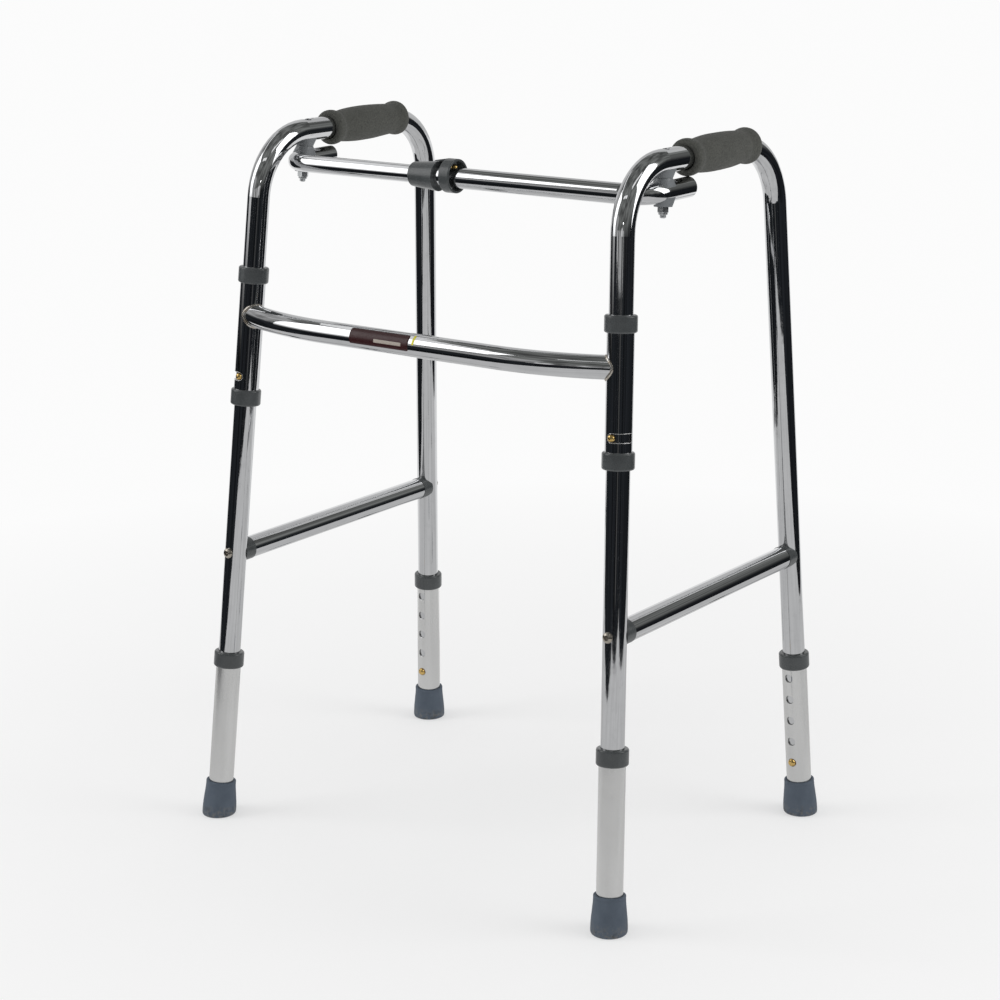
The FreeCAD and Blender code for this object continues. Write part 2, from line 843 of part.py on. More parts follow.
def hairpin(name, bore, place):
    """A flat spring bent into a U. Its arms lie along the bore's wall, one under the button."""
    reach = bore - d.spring_gap - d.spring_thickness / 2
    arm = d.spring_length
    below = d.button_size
    route = [(reach, -below), (reach, arm), (-reach, arm), (-reach, -below)]
    rounds = (d.spring_round * (bore / (d.leg_outer / 2 - d.leg_wall)),) * 2
    body = new_body(name)
    path = new_sketch(body, "XZ_Plane", f"{name}_route")
    edges = draw_route(path, route, rounds)
    section = new_sketch(body, "XY_Plane", f"{name}_section")
    half_width = d.spring_width / 2
    half_thick = d.spring_thickness / 2
    draw_outline(section, [
        (reach - half_thick, -half_width),
        (reach + half_thick, -half_width),
        (reach + half_thick, half_width),
        (reach - half_thick, half_width),
    ])
    section.AttachmentOffset = Placement(Vector(0, 0, -below.value), FreeCAD.Rotation())
    sweep(body, section, path, edges)
    body.Placement = place
    return body


def make_springs(side):
    """Three hairpins: one in each leg for its extension, one in the front leg for the sleeve."""
    bore = d.leg_outer / 2 - d.leg_wall
    springs = []
    for end in ENDS:
        place = leg_frame(side, end, d.first_hole_height.value, button_direction(end))
        springs.append(hairpin(f"leg_spring_{end}_{side}", bore, place))
    place = leg_frame(side, "front", d.sleeve_button_height.value, FORWARD)
    springs.append(hairpin(f"sleeve_spring_{side}", bore, place))
    keep(f"button_springs_{side}", group(f"button_springs_{side}", springs))


# ---------------------------------------------------------------- sleeves and crossbar

def make_sleeve(side):
    """A tube that the front leg turns in, with a slot for the leg's button to travel in."""
    node = f"sleeve_{side}"
    body = straight_tube(node, d.sleeve_outer, d.sleeve_inner, d.sleeve_top - d.sleeve_bottom)
    middle = d.sleeve_button_height - d.sleeve_bottom
    half = d.slot_height / 2
    profile = new_sketch(body, "XZ_Plane", f"{node}_slot_profile")
    draw_outline(profile, ring_outline(d.sleeve_inner / 2 - 1, d.sleeve_outer / 2 + 1,
                                       middle - half, middle + half))
    slot = body.newObject("PartDesign::Groove", f"{node}_slot")
    slot.Profile = profile
    slot.ReferenceAxis = (profile, ["V_Axis"])
    slot.Reversed = side == "left"
    bind(slot, "Angle", d.slot_angle)
    end_sketch = new_sketch(body, "YZ_Plane", f"{node}_slot_end_profile")
    draw_circle(end_sketch, (0, middle), half)
    slot_end = body.newObject("PartDesign::Pocket", f"{node}_slot_end")
    slot_end.Profile = end_sketch
    slot_end.Reversed = True
    bind(slot_end, "Length", d.sleeve_outer)
    keep(node, body, leg_frame(side, "front", d.sleeve_bottom.value, FORWARD))


def make_sleeve_collars(side):
    """The lower collar has its lip at the bottom, the upper one at the top."""
    outer = d.sleeve_collar_outer / 2
    tube = d.sleeve_outer / 2
    lip = d.collar_lip
    length = d.collar_length
    shapes = {
        "lower": [(leg_bush(), 0), (outer, 0), (outer, length), (tube, length), (tube, lip), (leg_bush(), lip)],
        "upper": [(tube, 0), (outer, 0), (outer, length), (leg_bush(), length),
                  (leg_bush(), length - lip), (tube, length - lip)],
    }
    heights = {"lower": d.lower_sleeve_collar, "upper": d.upper_sleeve_collar}
    for which, outline in shapes.items():
        node = f"sleeve_collar_{which}_{side}"
        body = turned(node, outline)
        round_rims(body, d.collar_round, [(outer, 0), (outer, length)])
        keep(node, body, leg_frame(side, "front", heights[which].value))


def origin_plane(body, role):
    return [f for f in body.Origin.OriginFeatures if f.Role == role][0]


def crossbar_rod(name, radius):
    """Straight in the middle, with one long bend back to the sleeve's axis at each end."""
    reach = d.crossbar_bend * tangent(d.crossbar_turn / 2)
    corner = d.crossbar_straight + reach
    run = reach * d.crossbar_overrun
    route = [(0, 0), (corner, 0), (corner + run * cosine(d.crossbar_turn), run * sine(d.crossbar_turn))]
    body = bent_rod(name, radius, route, (d.crossbar_bend,), "YZ_Plane")
    half = body.Tip
    other = body.newObject("PartDesign::Mirrored", f"{name}_mirror")
    other.Originals = [half]
    other.MirrorPlane = (origin_plane(body, "YZ_Plane"), [""])
    body.Tip = other
    body.Placement = Placement(Vector(0, -d.crossbar_front.value, d.crossbar_height.value), FreeCAD.Rotation())
    return body


def sleeve_rod(name, radius, side):
    reach = d.crossbar_outer * 2
    place = leg_frame(side, "front", d.crossbar_height.value - reach.value)
    return cylinder(name, radius, reach * 2, place)


def make_crossbar():
    blank = crossbar_rod("crossbar_blank", d.crossbar_outer / 2)
    bore = crossbar_rod("crossbar_bore", d.crossbar_outer / 2 - d.crossbar_wall)
    sleeves = [sleeve_rod(f"crossbar_cope_{side}", d.sleeve_outer / 2, side) for side in SIDES]
    keep("crossbar", cut("crossbar", blank, [bore, *sleeves]))


def make_welds():
    """A bead round each joint: what lies close to both the crossbar and the sleeve, outside both."""
    beads = []
    for side in SIDES:
        near_bar = crossbar_rod(f"weld_bar_{side}", d.crossbar_outer / 2 + d.weld_size)
        near_sleeve = sleeve_rod(f"weld_sleeve_{side}", d.sleeve_outer / 2 + d.weld_size, side)
        bead = common(f"weld_near_{side}", [near_bar, near_sleeve])
        bar = crossbar_rod(f"weld_bar_core_{side}", d.crossbar_outer / 2)
        sleeve = sleeve_rod(f"weld_sleeve_core_{side}", d.sleeve_outer / 2, side)
        beads.append(cut(f"weld_{side}", bead, [bar, sleeve]))
    keep("crossbar_welds", group("crossbar_welds", beads))


def make_label():
    """A plain sticker round the front of the crossbar's straight middle."""
    inner = d.crossbar_outer / 2
    outline = ring_outline(inner, inner + d.label_thickness, 0, d.label_length)
    body = turned("crossbar_label", outline, d.label_angle)
    top = math.radians(d.label_top_angle.value)
    upper_edge = Vector(0, -math.cos(top), math.sin(top))
    start = Vector(d.label_start.value, -d.crossbar_front.value, d.crossbar_height.value)
    keep("crossbar_label", body, frame(start, RIGHT, upper_edge))


# ---------------------------------------------------------------- telescopic bar

def bar_x():
    """How far the bar's rear-facing ends lie from the middle: in the plane of the side frame."""
    return d.foot_track / 2 - d.bar_height * tangent(d.side_lean_angle)


def bar_rod(name, radius, side, start):
    """One half of the bar, from start along X, then round one bend to its rear-facing end."""
    reach = bar_x() - start * SIDES[side]
    route = [(0, 0), (reach, 0), (reach, d.bar_front - d.bar_rear_end)]
    body = bent_rod(name, radius, route, (d.bar_bend,), "YZ_Plane")
    begin = Vector(start.value, -d.bar_front.value, d.bar_height.value)
    body.Placement = frame(begin, UP * SIDES[side], RIGHT * SIDES[side])
    return body


def bar_point(x, lift=0.0):
    """A point on the bar's axis, or lift above it."""
    return Vector(x, -d.bar_front.value, d.bar_height.value + lift)


def bar_drill(name, radius, x, upwards=True):
    """A drill from the bar's axis out through its top or its underside."""
    return drill(name, radius, bar_point(x.value), UP if upwards else UP * -1, d.bar_outer)


def bolt_drill(name, side):
    low = bolt_frame(side).multiply(Placement(Vector(0, 0, -d.bar_outer.value), FreeCAD.Rotation()))
    return cylinder(name, d.bolt_bore / 2, d.bar_outer * 2, low)


def make_bar_tubes():
    blank = bar_rod("bar_inner_blank", d.bar_inner / 2, "left", d.inner_bar_end)
    tools = [
        bar_rod("bar_inner_core", d.bar_inner_bore / 2, "left", d.inner_bar_end),
        bar_drill("bar_inner_button_hole", d.leg_hole / 2, d.bar_button_place),
        bolt_drill("bar_inner_bolt_hole", "left"),
    ]
    keep("bar_inner_tube", cut("bar_inner_tube", blank, tools))
    blank = bar_rod("bar_outer_blank", d.bar_outer / 2, "right", d.outer_bar_start)
    tools = [
        bar_rod("bar_outer_core", d.bar_outer_bore / 2, "right", d.outer_bar_start),
        bar_drill("bar_outer_button_hole", d.leg_hole / 2, d.bar_button_place),
        bar_drill("bar_outer_drain", d.bar_drain_size / 2, d.bar_drain_place, upwards=False),
        bolt_drill("bar_outer_bolt_hole", "right"),
    ]
    keep("bar_outer_tube", cut("bar_outer_tube", blank, tools))


def make_bar_collar():
    """A tapered band over the outer tube's end, with an arm at the rear that reaches to the ring."""
    small = d.bar_collar_small / 2
    large = d.bar_collar_large / 2
    length = d.bar_collar_end - d.bar_collar_start
    step = d.outer_bar_start - d.bar_collar_start
    band = turned("bar_collar_band", [
        (d.bar_inner / 2 + d.collar_bore_gap, 0),
        (small - d.bar_collar_chamfer, 0),
        (small, d.bar_collar_chamfer),
        (large, length),
        (d.bar_outer / 2, length),
        (d.bar_outer / 2, step),
        (d.bar_inner / 2 + d.collar_bore_gap, step),
    ])
    band.Placement = frame(bar_point(d.bar_collar_start.value), RIGHT, UP)
    inner = d.ring_outer / 2 - d.ring_wall
    reach = d.ring_start - d.bar_collar_end - d.ring_gap
    arm = turned("bar_collar_arm", [
        (inner - 1.2, -4.0),
        (large - 0.6, -4.0),
        (d.ring_outer / 2 - 0.2, reach),
        (inner, reach),
    ], d.arm_angle)
    rearward = math.radians(d.arm_start_angle.value)
    start = Vector(0, math.cos(rearward), math.sin(rearward))
    arm.Placement = frame(bar_point(d.bar_collar_end.value, d.ring_lift.value), RIGHT, start)
    keep("bar_collar", fuse("bar_collar", [band, arm]))


def make_release_ring():
    """A loose ring round the bar with a boss above the button: pulling it down presses the button."""
    outer = d.ring_outer / 2
    inner = outer - d.ring_wall
    hoop = turned("release_ring_hoop", ring_outline(inner, outer, 0, d.ring_length))
    round_rims(hoop, d.ring_round, [(outer, 0), (outer, d.ring_length)])
    hoop.Placement = frame(bar_point(d.ring_start.value, d.ring_lift.value), RIGHT, UP)
    dome_top = d.bar_outer / 2 + d.button_rim + d.button_dome + d.button_gap
    boss_height = d.ring_lift + inner + 1 - dome_top
    place = frame(bar_point(d.bar_button_place.value, dome_top.value), UP)
    boss = cylinder("release_ring_boss", d.ring_boss / 2, boss_height, place)
    keep("release_ring", fuse("release_ring", [hoop, boss]))


def make_bar_button():
    """Stands in the outer tube's wall, over the hole in the inner tube."""
    start = d.bar_outer_bore / 2 + 0.05
    body = turned("bar_button", dome_outline(start, d.bar_outer / 2 + d.button_rim, d.button_size))
    keep("bar_button", body, frame(bar_point(d.bar_button_place.value), UP))


def make_bar_spring():
    place = frame(bar_point(d.bar_button_place.value), RIGHT, UP)
    body = hairpin("bar_spring", d.bar_inner_bore / 2, place)
    keep("bar_spring", body)


# ---------------------------------------------------------------- pivots of the bar

def bolt_frame(side):
    """On the bar's axis at the bolt. Its Z is parallel to the leg that the side frame turns about."""
    origin = Vector(SIDES[side] * bar_x().value, d.bolt_place.value, d.bar_height.value)
    return frame(origin, leg_direction(side, "front"))


def tube_rise():
    """From the bar's axis up the bolt to the side tube's axis."""
    front_u = -d.foot_base / 2 + tangent(d.front_lean_angle) * d.front_corner_height
    rear_u = d.foot_base / 2 - tangent(d.rear_lean_angle) * d.rear_corner_height
    slope = (d.rear_corner_height - d.front_corner_height) / (rear_u - front_u)
    height = d.front_corner_height + slope * (d.bolt_place - front_u)
    start = d.bar_height / cosine(d.side_lean_angle)
    return (height - start) / (cosine(d.front_lean_angle) - slope * sine(d.front_lean_angle))


def in_bolt_frame(side, height):
    return bolt_frame(side).multiply(Placement(Vector(0, 0, height), FreeCAD.Rotation()))


def head_seat():
    """The underside of the bolt's head, sunk in the access hole."""
    return tube_rise() + d.leg_outer / 2 - d.bolt_head_depth - d.bolt_head_height


def nut_top():
    return -d.lower_saddle_bottom - d.nut_gap


def make_bolt(side):
    node = f"bar_bolt_{side}"
    bottom = nut_top() - d.nut_height - d.nut_collar_height - d.bolt_tail
    shank = d.bolt_shank / 2
    head = d.bolt_head / 2
    seat = head_seat()
    top = seat + d.bolt_head_height
    blank = turned(f"{node}_blank", [
        (0, bottom),
        (shank - d.bolt_tip_chamfer, bottom),
        (shank, bottom + d.bolt_tip_chamfer),
        (shank, seat),
        (head, seat),
        (head, top - d.bolt_chamfer),
        (head - d.bolt_chamfer, top),
        (0, top),
    ])
    blank.Placement = bolt_frame(side)
    socket = doc.addObject("Part::Prism", f"{node}_socket")
    bind(socket, "Circumradius", d.bolt_socket / 2)
    bind(socket, "Height", d.bolt_head_height)
    socket.Polygon = 6
    socket.Placement = in_bolt_frame(side, top.value - d.bolt_socket_depth.value)
    keep(node, cut(node, blank, [socket]))


def make_spacer(side):
    """Inside the side tube, so that tightening the bolt doesn't crush it."""
    node = f"bolt_spacer_{side}"
    floor = tube_rise() - d.spacer_floor
    body = straight_tube(node, d.spacer_outer, d.bolt_bore, head_seat() - floor)
    keep(node, body, in_bolt_frame(side, floor.value))


def make_nut(side):
    """A lock nut: a hexagon with rounded corners over a narrower collar."""
    node = f"bar_nut_{side}"
    corner = d.nut_flats / 2 / cosine(as_size(30))
    bottom = nut_top() - d.nut_height
    prism = doc.addObject("Part::Prism", f"{node}_hexagon")
    bind(prism, "Circumradius", corner)
    bind(prism, "Height", d.nut_height)
    prism.Polygon = 6
    prism.Placement = in_bolt_frame(side, bottom.value)
    rounder = turned(f"{node}_rounder", [
        (0, bottom),
        (corner - d.nut_chamfer * 2, bottom),
        (corner, bottom + d.nut_chamfer * 2),
        (corner, nut_top() - d.nut_chamfer),
        (corner - d.nut_chamfer, nut_top()),
        (0, nut_top()),
    ])
    rounder.Placement = bolt_frame(side)
    hexagon = common(f"{node}_body", [prism, rounder])
    low = bottom - d.nut_collar_height
    collar = turned(f"{node}_collar", [
        (0, low),
        (d.nut_collar / 2 - d.nut_chamfer, low),
        (d.nut_collar / 2, low + d.nut_chamfer),
        (d.nut_collar / 2, bottom),
        (0, bottom),
    ])
    collar.Placement = bolt_frame(side)
    solid = fuse(f"{node}_solid", [hexagon, collar])
    bore = cylinder(f"{node}_bore", d.bolt_shank / 2, d.nut_height * 3,
                    in_bolt_frame(side, nut_top().value - d.nut_height.value * 2))
    keep(node, cut(node, solid, [bore]))


def saddle(node, side, low, high, wide_at_top, tubes):
    """A tapered plastic block that fits the tubes above or below it and turns on the bolt."""
    block = box(f"{node}_block", (d.saddle_width, d.saddle_length, high - low),
                in_bolt_frame(side, low.value))
    radii = (d.saddle_tip / 2, d.saddle_base / 2) if wide_at_top else (d.saddle_base / 2, d.saddle_tip / 2)
    taper = turned(f"{node}_taper", [(0, low), (radii[0], low), (radii[1], high), (0, high)])
    taper.Placement = bolt_frame(side)
    blank = common(f"{node}_blank", [block, taper])
    bore = cylinder(f"{node}_bore", d.bolt_bore / 2, d.leg_outer * 3,
                    in_bolt_frame(side, -d.leg_outer.value))
    keep(node, cut(node, blank, [bore, *tubes]))


def make_saddles(side):
    """Upper: under the side tube. Middle and lower: over and under the bar."""
    rise = tube_rise()
    split = d.saddle_joint
    half_gap = d.saddle_gap / 2
    names = {place: f"saddle_{place}_{side}" for place in ("upper", "middle", "lower")}
    tube = side_rod(f"{names['upper']}_tube", d.leg_outer / 2, side)
    saddle(names["upper"], side, split + half_gap, rise - d.saddle_wing, True, [tube])
    if side == "left":
        radius, start = d.bar_inner / 2, d.inner_bar_end
    else:
        radius, start = d.bar_outer / 2, d.outer_bar_start
    bar = bar_rod(f"{names['middle']}_bar", radius, side, start)
    saddle(names["middle"], side, d.saddle_wing - 1.5, split - half_gap, False, [bar])
    bar = bar_rod(f"{names['lower']}_bar", radius, side, start)
    saddle(names["lower"], side, -d.lower_saddle_bottom, -d.lower_saddle_wing, True, [bar])


# ---------------------------------------------------------------- the whole frame

def make_frame():
    make_crossbar()
    make_welds()
    make_label()
    for side in SIDES:
        make_sleeve(side)
        make_sleeve_collars(side)
        make_side_tube(side)
        make_grip(side)
        make_stretcher(side)
        make_springs(side)
        make_sleeve_button(side)
        make_bolt(side)
        make_spacer(side)
        make_nut(side)
        make_saddles(side)
        for end in ENDS:
            make_extension(side, end)
            make_extension_collar(side, end)
            make_ferrule(side, end)
            make_leg_button(side, end)
    make_bar_tubes()
    make_bar_collar()
    make_bar_button()
    make_bar_spring()
    make_release_ring()


def check_document():
    """Raises if any object failed or any sub-part is empty or invalid."""
    doc.recompute()
    for item in doc.Objects:
        if {"Invalid", "Error"} & set(item.State):
            raise RuntimeError(f"{item.Name} failed: {item.State}")
    for node, item in nodes.items():
        if item.Shape.isNull() or not item.Shape.isValid() or not item.Shape.Solids:
            raise RuntimeError(f"{node} has no valid solid")


def export_parts():
    for node, item in nodes.items():
        item.Shape.exportStep(f"parts/{node}.step")


make_frame()
check_document()
export_parts()
print(len(nodes), "parts written")
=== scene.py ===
import json
import math

import bpy
from mathutils import Matrix, Vector, noise


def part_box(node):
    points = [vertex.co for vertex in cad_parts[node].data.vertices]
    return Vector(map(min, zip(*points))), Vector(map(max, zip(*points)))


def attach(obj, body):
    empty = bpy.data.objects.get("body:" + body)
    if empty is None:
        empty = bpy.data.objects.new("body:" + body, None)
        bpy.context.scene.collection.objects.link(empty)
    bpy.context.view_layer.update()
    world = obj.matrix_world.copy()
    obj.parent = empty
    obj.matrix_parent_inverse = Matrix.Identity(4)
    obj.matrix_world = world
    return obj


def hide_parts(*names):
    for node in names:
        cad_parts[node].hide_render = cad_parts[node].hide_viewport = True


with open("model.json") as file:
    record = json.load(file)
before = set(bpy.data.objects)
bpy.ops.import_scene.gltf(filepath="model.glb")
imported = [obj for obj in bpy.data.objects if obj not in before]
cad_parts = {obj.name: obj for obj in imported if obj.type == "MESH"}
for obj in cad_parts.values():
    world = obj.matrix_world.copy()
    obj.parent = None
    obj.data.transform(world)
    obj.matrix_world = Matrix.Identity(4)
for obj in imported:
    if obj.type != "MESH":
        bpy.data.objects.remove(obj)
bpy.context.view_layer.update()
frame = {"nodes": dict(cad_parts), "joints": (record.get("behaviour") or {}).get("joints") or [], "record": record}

# A folding walking frame in a plain pale studio. Everything is placed in metres, in the CAD's own frame:
# the crossbar faces -Y, the open side is +Y, and +Z is up. Sizes of its parts are in millimetres, times MM.

NODES = frame["nodes"]
JOINTS = {joint["name"]: joint for joint in frame["joints"]}
MM = 0.001
SIDES = ("left", "right")
ENDS = ("front", "rear")
UP = Vector((0, 0, 1))
RIGHT = Vector((1, 0, 0))
REARWARD = Vector((0, 1, 0))

# ---------------------------------------------------------------- camera

CAMERA_PLACE = Vector((1.5924, -2.1460, 1.1202))
CAMERA_YAW = math.radians(36.74)
CAMERA_PITCH = math.radians(15.47)
CAMERA_ROLL = math.radians(-0.51)
CAMERA_LENS = 87.86
SENSOR_WIDTH = 36.0


def camera_axes():
    """The camera's right, up and back directions."""
    back = Vector((
        math.sin(CAMERA_YAW) * math.cos(CAMERA_PITCH),
        -math.cos(CAMERA_YAW) * math.cos(CAMERA_PITCH),
        math.sin(CAMERA_PITCH),
    ))
    level = Vector((math.cos(CAMERA_YAW), math.sin(CAMERA_YAW), 0))
    upright = back.cross(level)
    right = level * math.cos(CAMERA_ROLL) + upright * math.sin(CAMERA_ROLL)
    return right, back.cross(right), back


def make_camera():
    data = bpy.data.cameras.new("camera")
    data.sensor_width = SENSOR_WIDTH
    data.lens = CAMERA_LENS
    data.clip_start = 0.05
    data.clip_end = 200
    camera = bpy.data.objects.new("camera", data)
    right, up, back = camera_axes()
    camera.matrix_world = Matrix((
        (right.x, up.x, back.x, CAMERA_PLACE.x),
        (right.y, up.y, back.y, CAMERA_PLACE.y),
        (right.z, up.z, back.z, CAMERA_PLACE.z),
        (0, 0, 0, 1),
    ))
    bpy.context.scene.collection.objects.link(camera)
    bpy.context.scene.camera = camera


make_camera()

# ---------------------------------------------------------------- material nodes


def map_range(tree, value, numbers):
    """Stretches value by four numbers: the range it comes in and the range it goes to."""
    node = tree.nodes.new("ShaderNodeMapRange")
    for name, number in zip(("From Min", "From Max", "To Min", "To Max"), numbers):
        node.inputs[name].default_value = number
    tree.links.new(value, node.inputs["Value"])
    return node


class Recipe:
    """A material's node tree, with short calls for the nodes that the materials below share."""

    def __init__(self, name):
        self.material = bpy.data.materials.new(name)
        self.material.use_nodes = True
        self.tree = self.material.node_tree
        self.shader = self.tree.nodes["Principled BSDF"]
        self.place = self.add("ShaderNodeTexCoord").outputs["Object"]

    def add(self, kind, **settings):
        node = self.tree.nodes.new(kind)
        for key, value in settings.items():
            setattr(node, key, value)
        return node

    def link(self, output, socket):
        self.tree.links.new(output, socket)

    def fix(self, **sockets):
        """Sets the shader's own sockets, named with _ for a space."""
        for name, value in sockets.items():
            self.shader.inputs[name.replace("_", " ")].default_value = value

    def along(self, axis, squeeze):
        """Coordinates turned so that Z runs along axis, and squeezed along it."""
        turn = self.add("ShaderNodeMapping", vector_type="POINT")
        rotation = Vector(axis).rotation_difference(UP)
        turn.inputs["Rotation"].default_value = rotation.to_euler()
        turn.inputs["Scale"].default_value = (1, 1, squeeze)
        self.link(self.place, turn.inputs["Vector"])
        return turn.outputs["Vector"]

    def noise(self, scale, detail=3.0, roughness=0.5, place=None):
        node = self.add("ShaderNodeTexNoise")
        node.inputs["Scale"].default_value = scale
        node.inputs["Detail"].default_value = detail
        node.inputs["Roughness"].default_value = roughness
        self.link(place or self.place, node.inputs["Vector"])
        return node.outputs["Fac"]

    def cells(self, scale, place=None):
        node = self.add("ShaderNodeTexVoronoi", feature="F1")
        node.inputs["Scale"].default_value = scale
        self.link(place or self.place, node.inputs["Vector"])
        return node.outputs["Distance"]

    def span(self, value, low, high, start=0.0, end=1.0):
        """Stretches value from low..high to start..end, held at both ends."""
        return map_range(self.tree, value, (low, high, start, end)).outputs["Result"]

    def math(self, operation, first, second):
        node = self.add("ShaderNodeMath", operation=operation)
        for socket, value in zip(node.inputs, (first, second)):
            if isinstance(value, (int, float)):
                socket.default_value = value
            else:
                self.link(value, socket)
        return node.outputs["Value"]

    def mix(self, share, first, second):
        """A colour between two colours or outputs."""
        node = self.add("ShaderNodeMix", data_type="RGBA")
        self.link(share, node.inputs["Factor"])
        for socket, value in ((node.inputs[6], first), (node.inputs[7], second)):
            if isinstance(value, tuple):
                socket.default_value = (*value, 1)
            else:
                self.link(value, socket)
        return node.outputs[2]

    def bump(self, height, depth, under=None):
        """A bump of the given depth in metres. under is another bump below it."""
        node = self.add("ShaderNodeBump")
        node.inputs["Strength"].default_value = 1.0
        node.inputs["Distance"].default_value = depth
        self.link(height, node.inputs["Height"])
        if under is not None:
            self.link(under, node.inputs["Normal"])
        return node.outputs["Normal"]

    def finish(self, color=None, roughness=None, normal=None):
        for name, output in (("Base Color", color), ("Roughness", roughness), ("Normal", normal)):
            if output is not None:
                self.link(output, self.shader.inputs[name])
        return self.material


# ---------------------------------------------------------------- materials

POLISHED = (0.60, 0.605, 0.615)
SATIN = (0.70, 0.70, 0.695)


def polished_tube(name, axis=None, ripple_depth=0.035):
    """Mirror-bright anodised aluminium: faint polishing lines, handling marks and a slight ripple."""
    r = Recipe(name)
    r.fix(Metallic=1.0)
    lines_place = r.along(axis, 30.0) if axis is not None else r.place
    lines = r.noise(90.0 if axis is not None else 2600.0, 2.0, 0.5, lines_place)
    marks = r.noise(95.0, 4.0, 0.62)
    haze = r.span(marks, 0.42, 0.72, 0.035, 0.085)
    roughness = r.math("ADD", haze, r.span(lines, 0.55, 0.8, 0.0, 0.035))
    dull = r.span(marks, 0.5, 0.8, 0.0, 1.0)
    color = r.mix(dull, POLISHED, tuple(c * 0.93 for c in POLISHED))
    ripple = r.bump(r.noise(34.0, 2.0), ripple_depth * MM)
    normal = r.bump(lines, 0.0015 * MM, ripple)
    return r.finish(color, roughness, normal)


def satin_tube(name, axis):
    """Satin anodised aluminium with fine drawing lines along the tube."""
    r = Recipe(name)
    r.fix(Metallic=1.0)
    lines = r.noise(3200.0, 3.0, 0.6, r.along(axis, 0.015))
    cloud = r.noise(38.0, 3.0)
    roughness = r.math("ADD", r.span(lines, 0.3, 0.7, 0.16, 0.24), r.span(cloud, 0.35, 0.7, 0.0, 0.05))
    color = r.mix(r.span(lines, 0.25, 0.75), SATIN, tuple(c * 0.94 for c in SATIN))
    normal = r.bump(lines, 0.016 * MM)
    return r.finish(color, roughness, normal)


def moulded(name, color, gloss, grain=0.012):
    """Injection-moulded plastic: a fine spark-eroded grain and slightly uneven colour."""
    r = Recipe(name)
    r.fix(Specular_IOR_Level=0.5)
    cloud = r.noise(60.0, 4.0, 0.55)
    fine = r.noise(2200.0, 2.0, 0.6)
    shade = r.mix(r.span(cloud, 0.3, 0.7), tuple(c * 0.9 for c in color), tuple(c * 1.12 for c in color))
    scuffs = r.span(r.noise(420.0, 5.0, 0.7), 0.62, 0.78, 0.0, 0.45)
    shade = r.mix(scuffs, shade, tuple(c * 1.6 + 0.01 for c in color))
    uneven = r.span(cloud, 0.3, 0.7, gloss - 0.04, gloss + 0.05)
    roughness = r.math("ADD", uneven, r.span(fine, 0.4, 0.7, 0.0, 0.05))
    return r.finish(shade, roughness, r.bump(fine, grain * MM))


def foam(name):
    """Closed-cell foam with a skin of small open pores. Its colour is painted darker in the pores and hollows of
    its bump, as painted shade, and lighter on the rims and rises, as a painted highlight.
    """
    r = Recipe(name)
    r.fix(Specular_IOR_Level=0.25, Sheen_Weight=0.06, Sheen_Roughness=0.6)
    pores = r.cells(1100.0)
    coarse = r.noise(620.0, 4.0, 0.72)
    cloud = r.noise(34.0, 3.0)
    base = r.mix(r.span(cloud, 0.3, 0.7), (0.040, 0.042, 0.037), (0.056, 0.058, 0.051))
    # painted shade at the bottom of each pore and a painted highlight on the rims between them, where the bump
    # below sets the pores' depth
    base = r.mix(r.span(pores, 0.15, 0.42, 0.0, 0.5), base, (0.092, 0.093, 0.083))
    # painted shade: near black where the coarse bump is low
    base = r.mix(r.span(coarse, 0.28, 0.5, 0.85, 0.0), base, (0.012, 0.013, 0.012))
    # painted highlight: lighter where the coarse bump is high
    base = r.mix(r.span(coarse, 0.56, 0.72, 0.0, 0.6), base, (0.125, 0.126, 0.112))
    normal = r.bump(pores, 0.20 * MM, r.bump(coarse, 0.30 * MM))
    return r.finish(base, r.span(coarse, 0.3, 0.7, 0.84, 0.97), normal)


def rubber(name):
    """Moulded blue-grey rubber with a dusty bloom and scuffs near the floor."""
    r = Recipe(name)
    r.fix(Specular_IOR_Level=0.4)
    height = r.add("ShaderNodeSeparateXYZ")
    r.link(r.place, height.inputs["Vector"])
    low = r.span(height.outputs["Z"], 0.002, 0.016, 1.0, 0.0)
    cloud = r.noise(70.0, 5.0, 0.6)
    speckle = r.noise(1500.0, 3.0, 0.7)
    base = r.mix(r.span(cloud, 0.3, 0.7), (0.062, 0.082, 0.110), (0.084, 0.106, 0.137))
    base = r.mix(r.span(speckle, 0.55, 0.75, 0.0, 0.5), base, (0.14, 0.16, 0.19))
    scuffs = r.math("MULTIPLY", low, r.span(r.noise(240.0, 5.0, 0.7), 0.46, 0.66))
    base = r.mix(scuffs, base, (0.155, 0.150, 0.140))
    dirt = r.math("MULTIPLY", low, r.span(r.noise(130.0, 4.0, 0.6), 0.56, 0.68, 0.0, 0.8))
    base = r.mix(dirt, base, (0.035, 0.034, 0.032))
    normal = r.bump(speckle, 0.035 * MM)
    return r.finish(base, r.span(cloud, 0.3, 0.7, 0.58, 0.74), normal)


def brass(name):
    r = Recipe(name)
    r.fix(Metallic=1.0)
    tarnish = r.noise(420.0, 4.0, 0.6)
    color = r.mix(r.span(tarnish, 0.42, 0.7), (0.74, 0.52, 0.19), (0.48, 0.30, 0.10))
    return r.finish(color, r.span(tarnish, 0.3, 0.7, 0.14, 0.30), r.bump(tarnish, 0.01 * MM))


def plated(name, color, smooth, rough):
    """Zinc or nickel plating on steel, a little cloudy."""
    r = Recipe(name)
    r.fix(Metallic=1.0)
    cloud = r.noise(300.0, 4.0, 0.6)
    fine = r.noise(2600.0, 2.0, 0.6)
    shade = r.mix(r.span(cloud, 0.35, 0.7), color, tuple(c * 0.72 for c in color))
    return r.finish(shade, r.span(cloud, 0.3, 0.7, smooth, rough), r.bump(fine, 0.006 * MM))


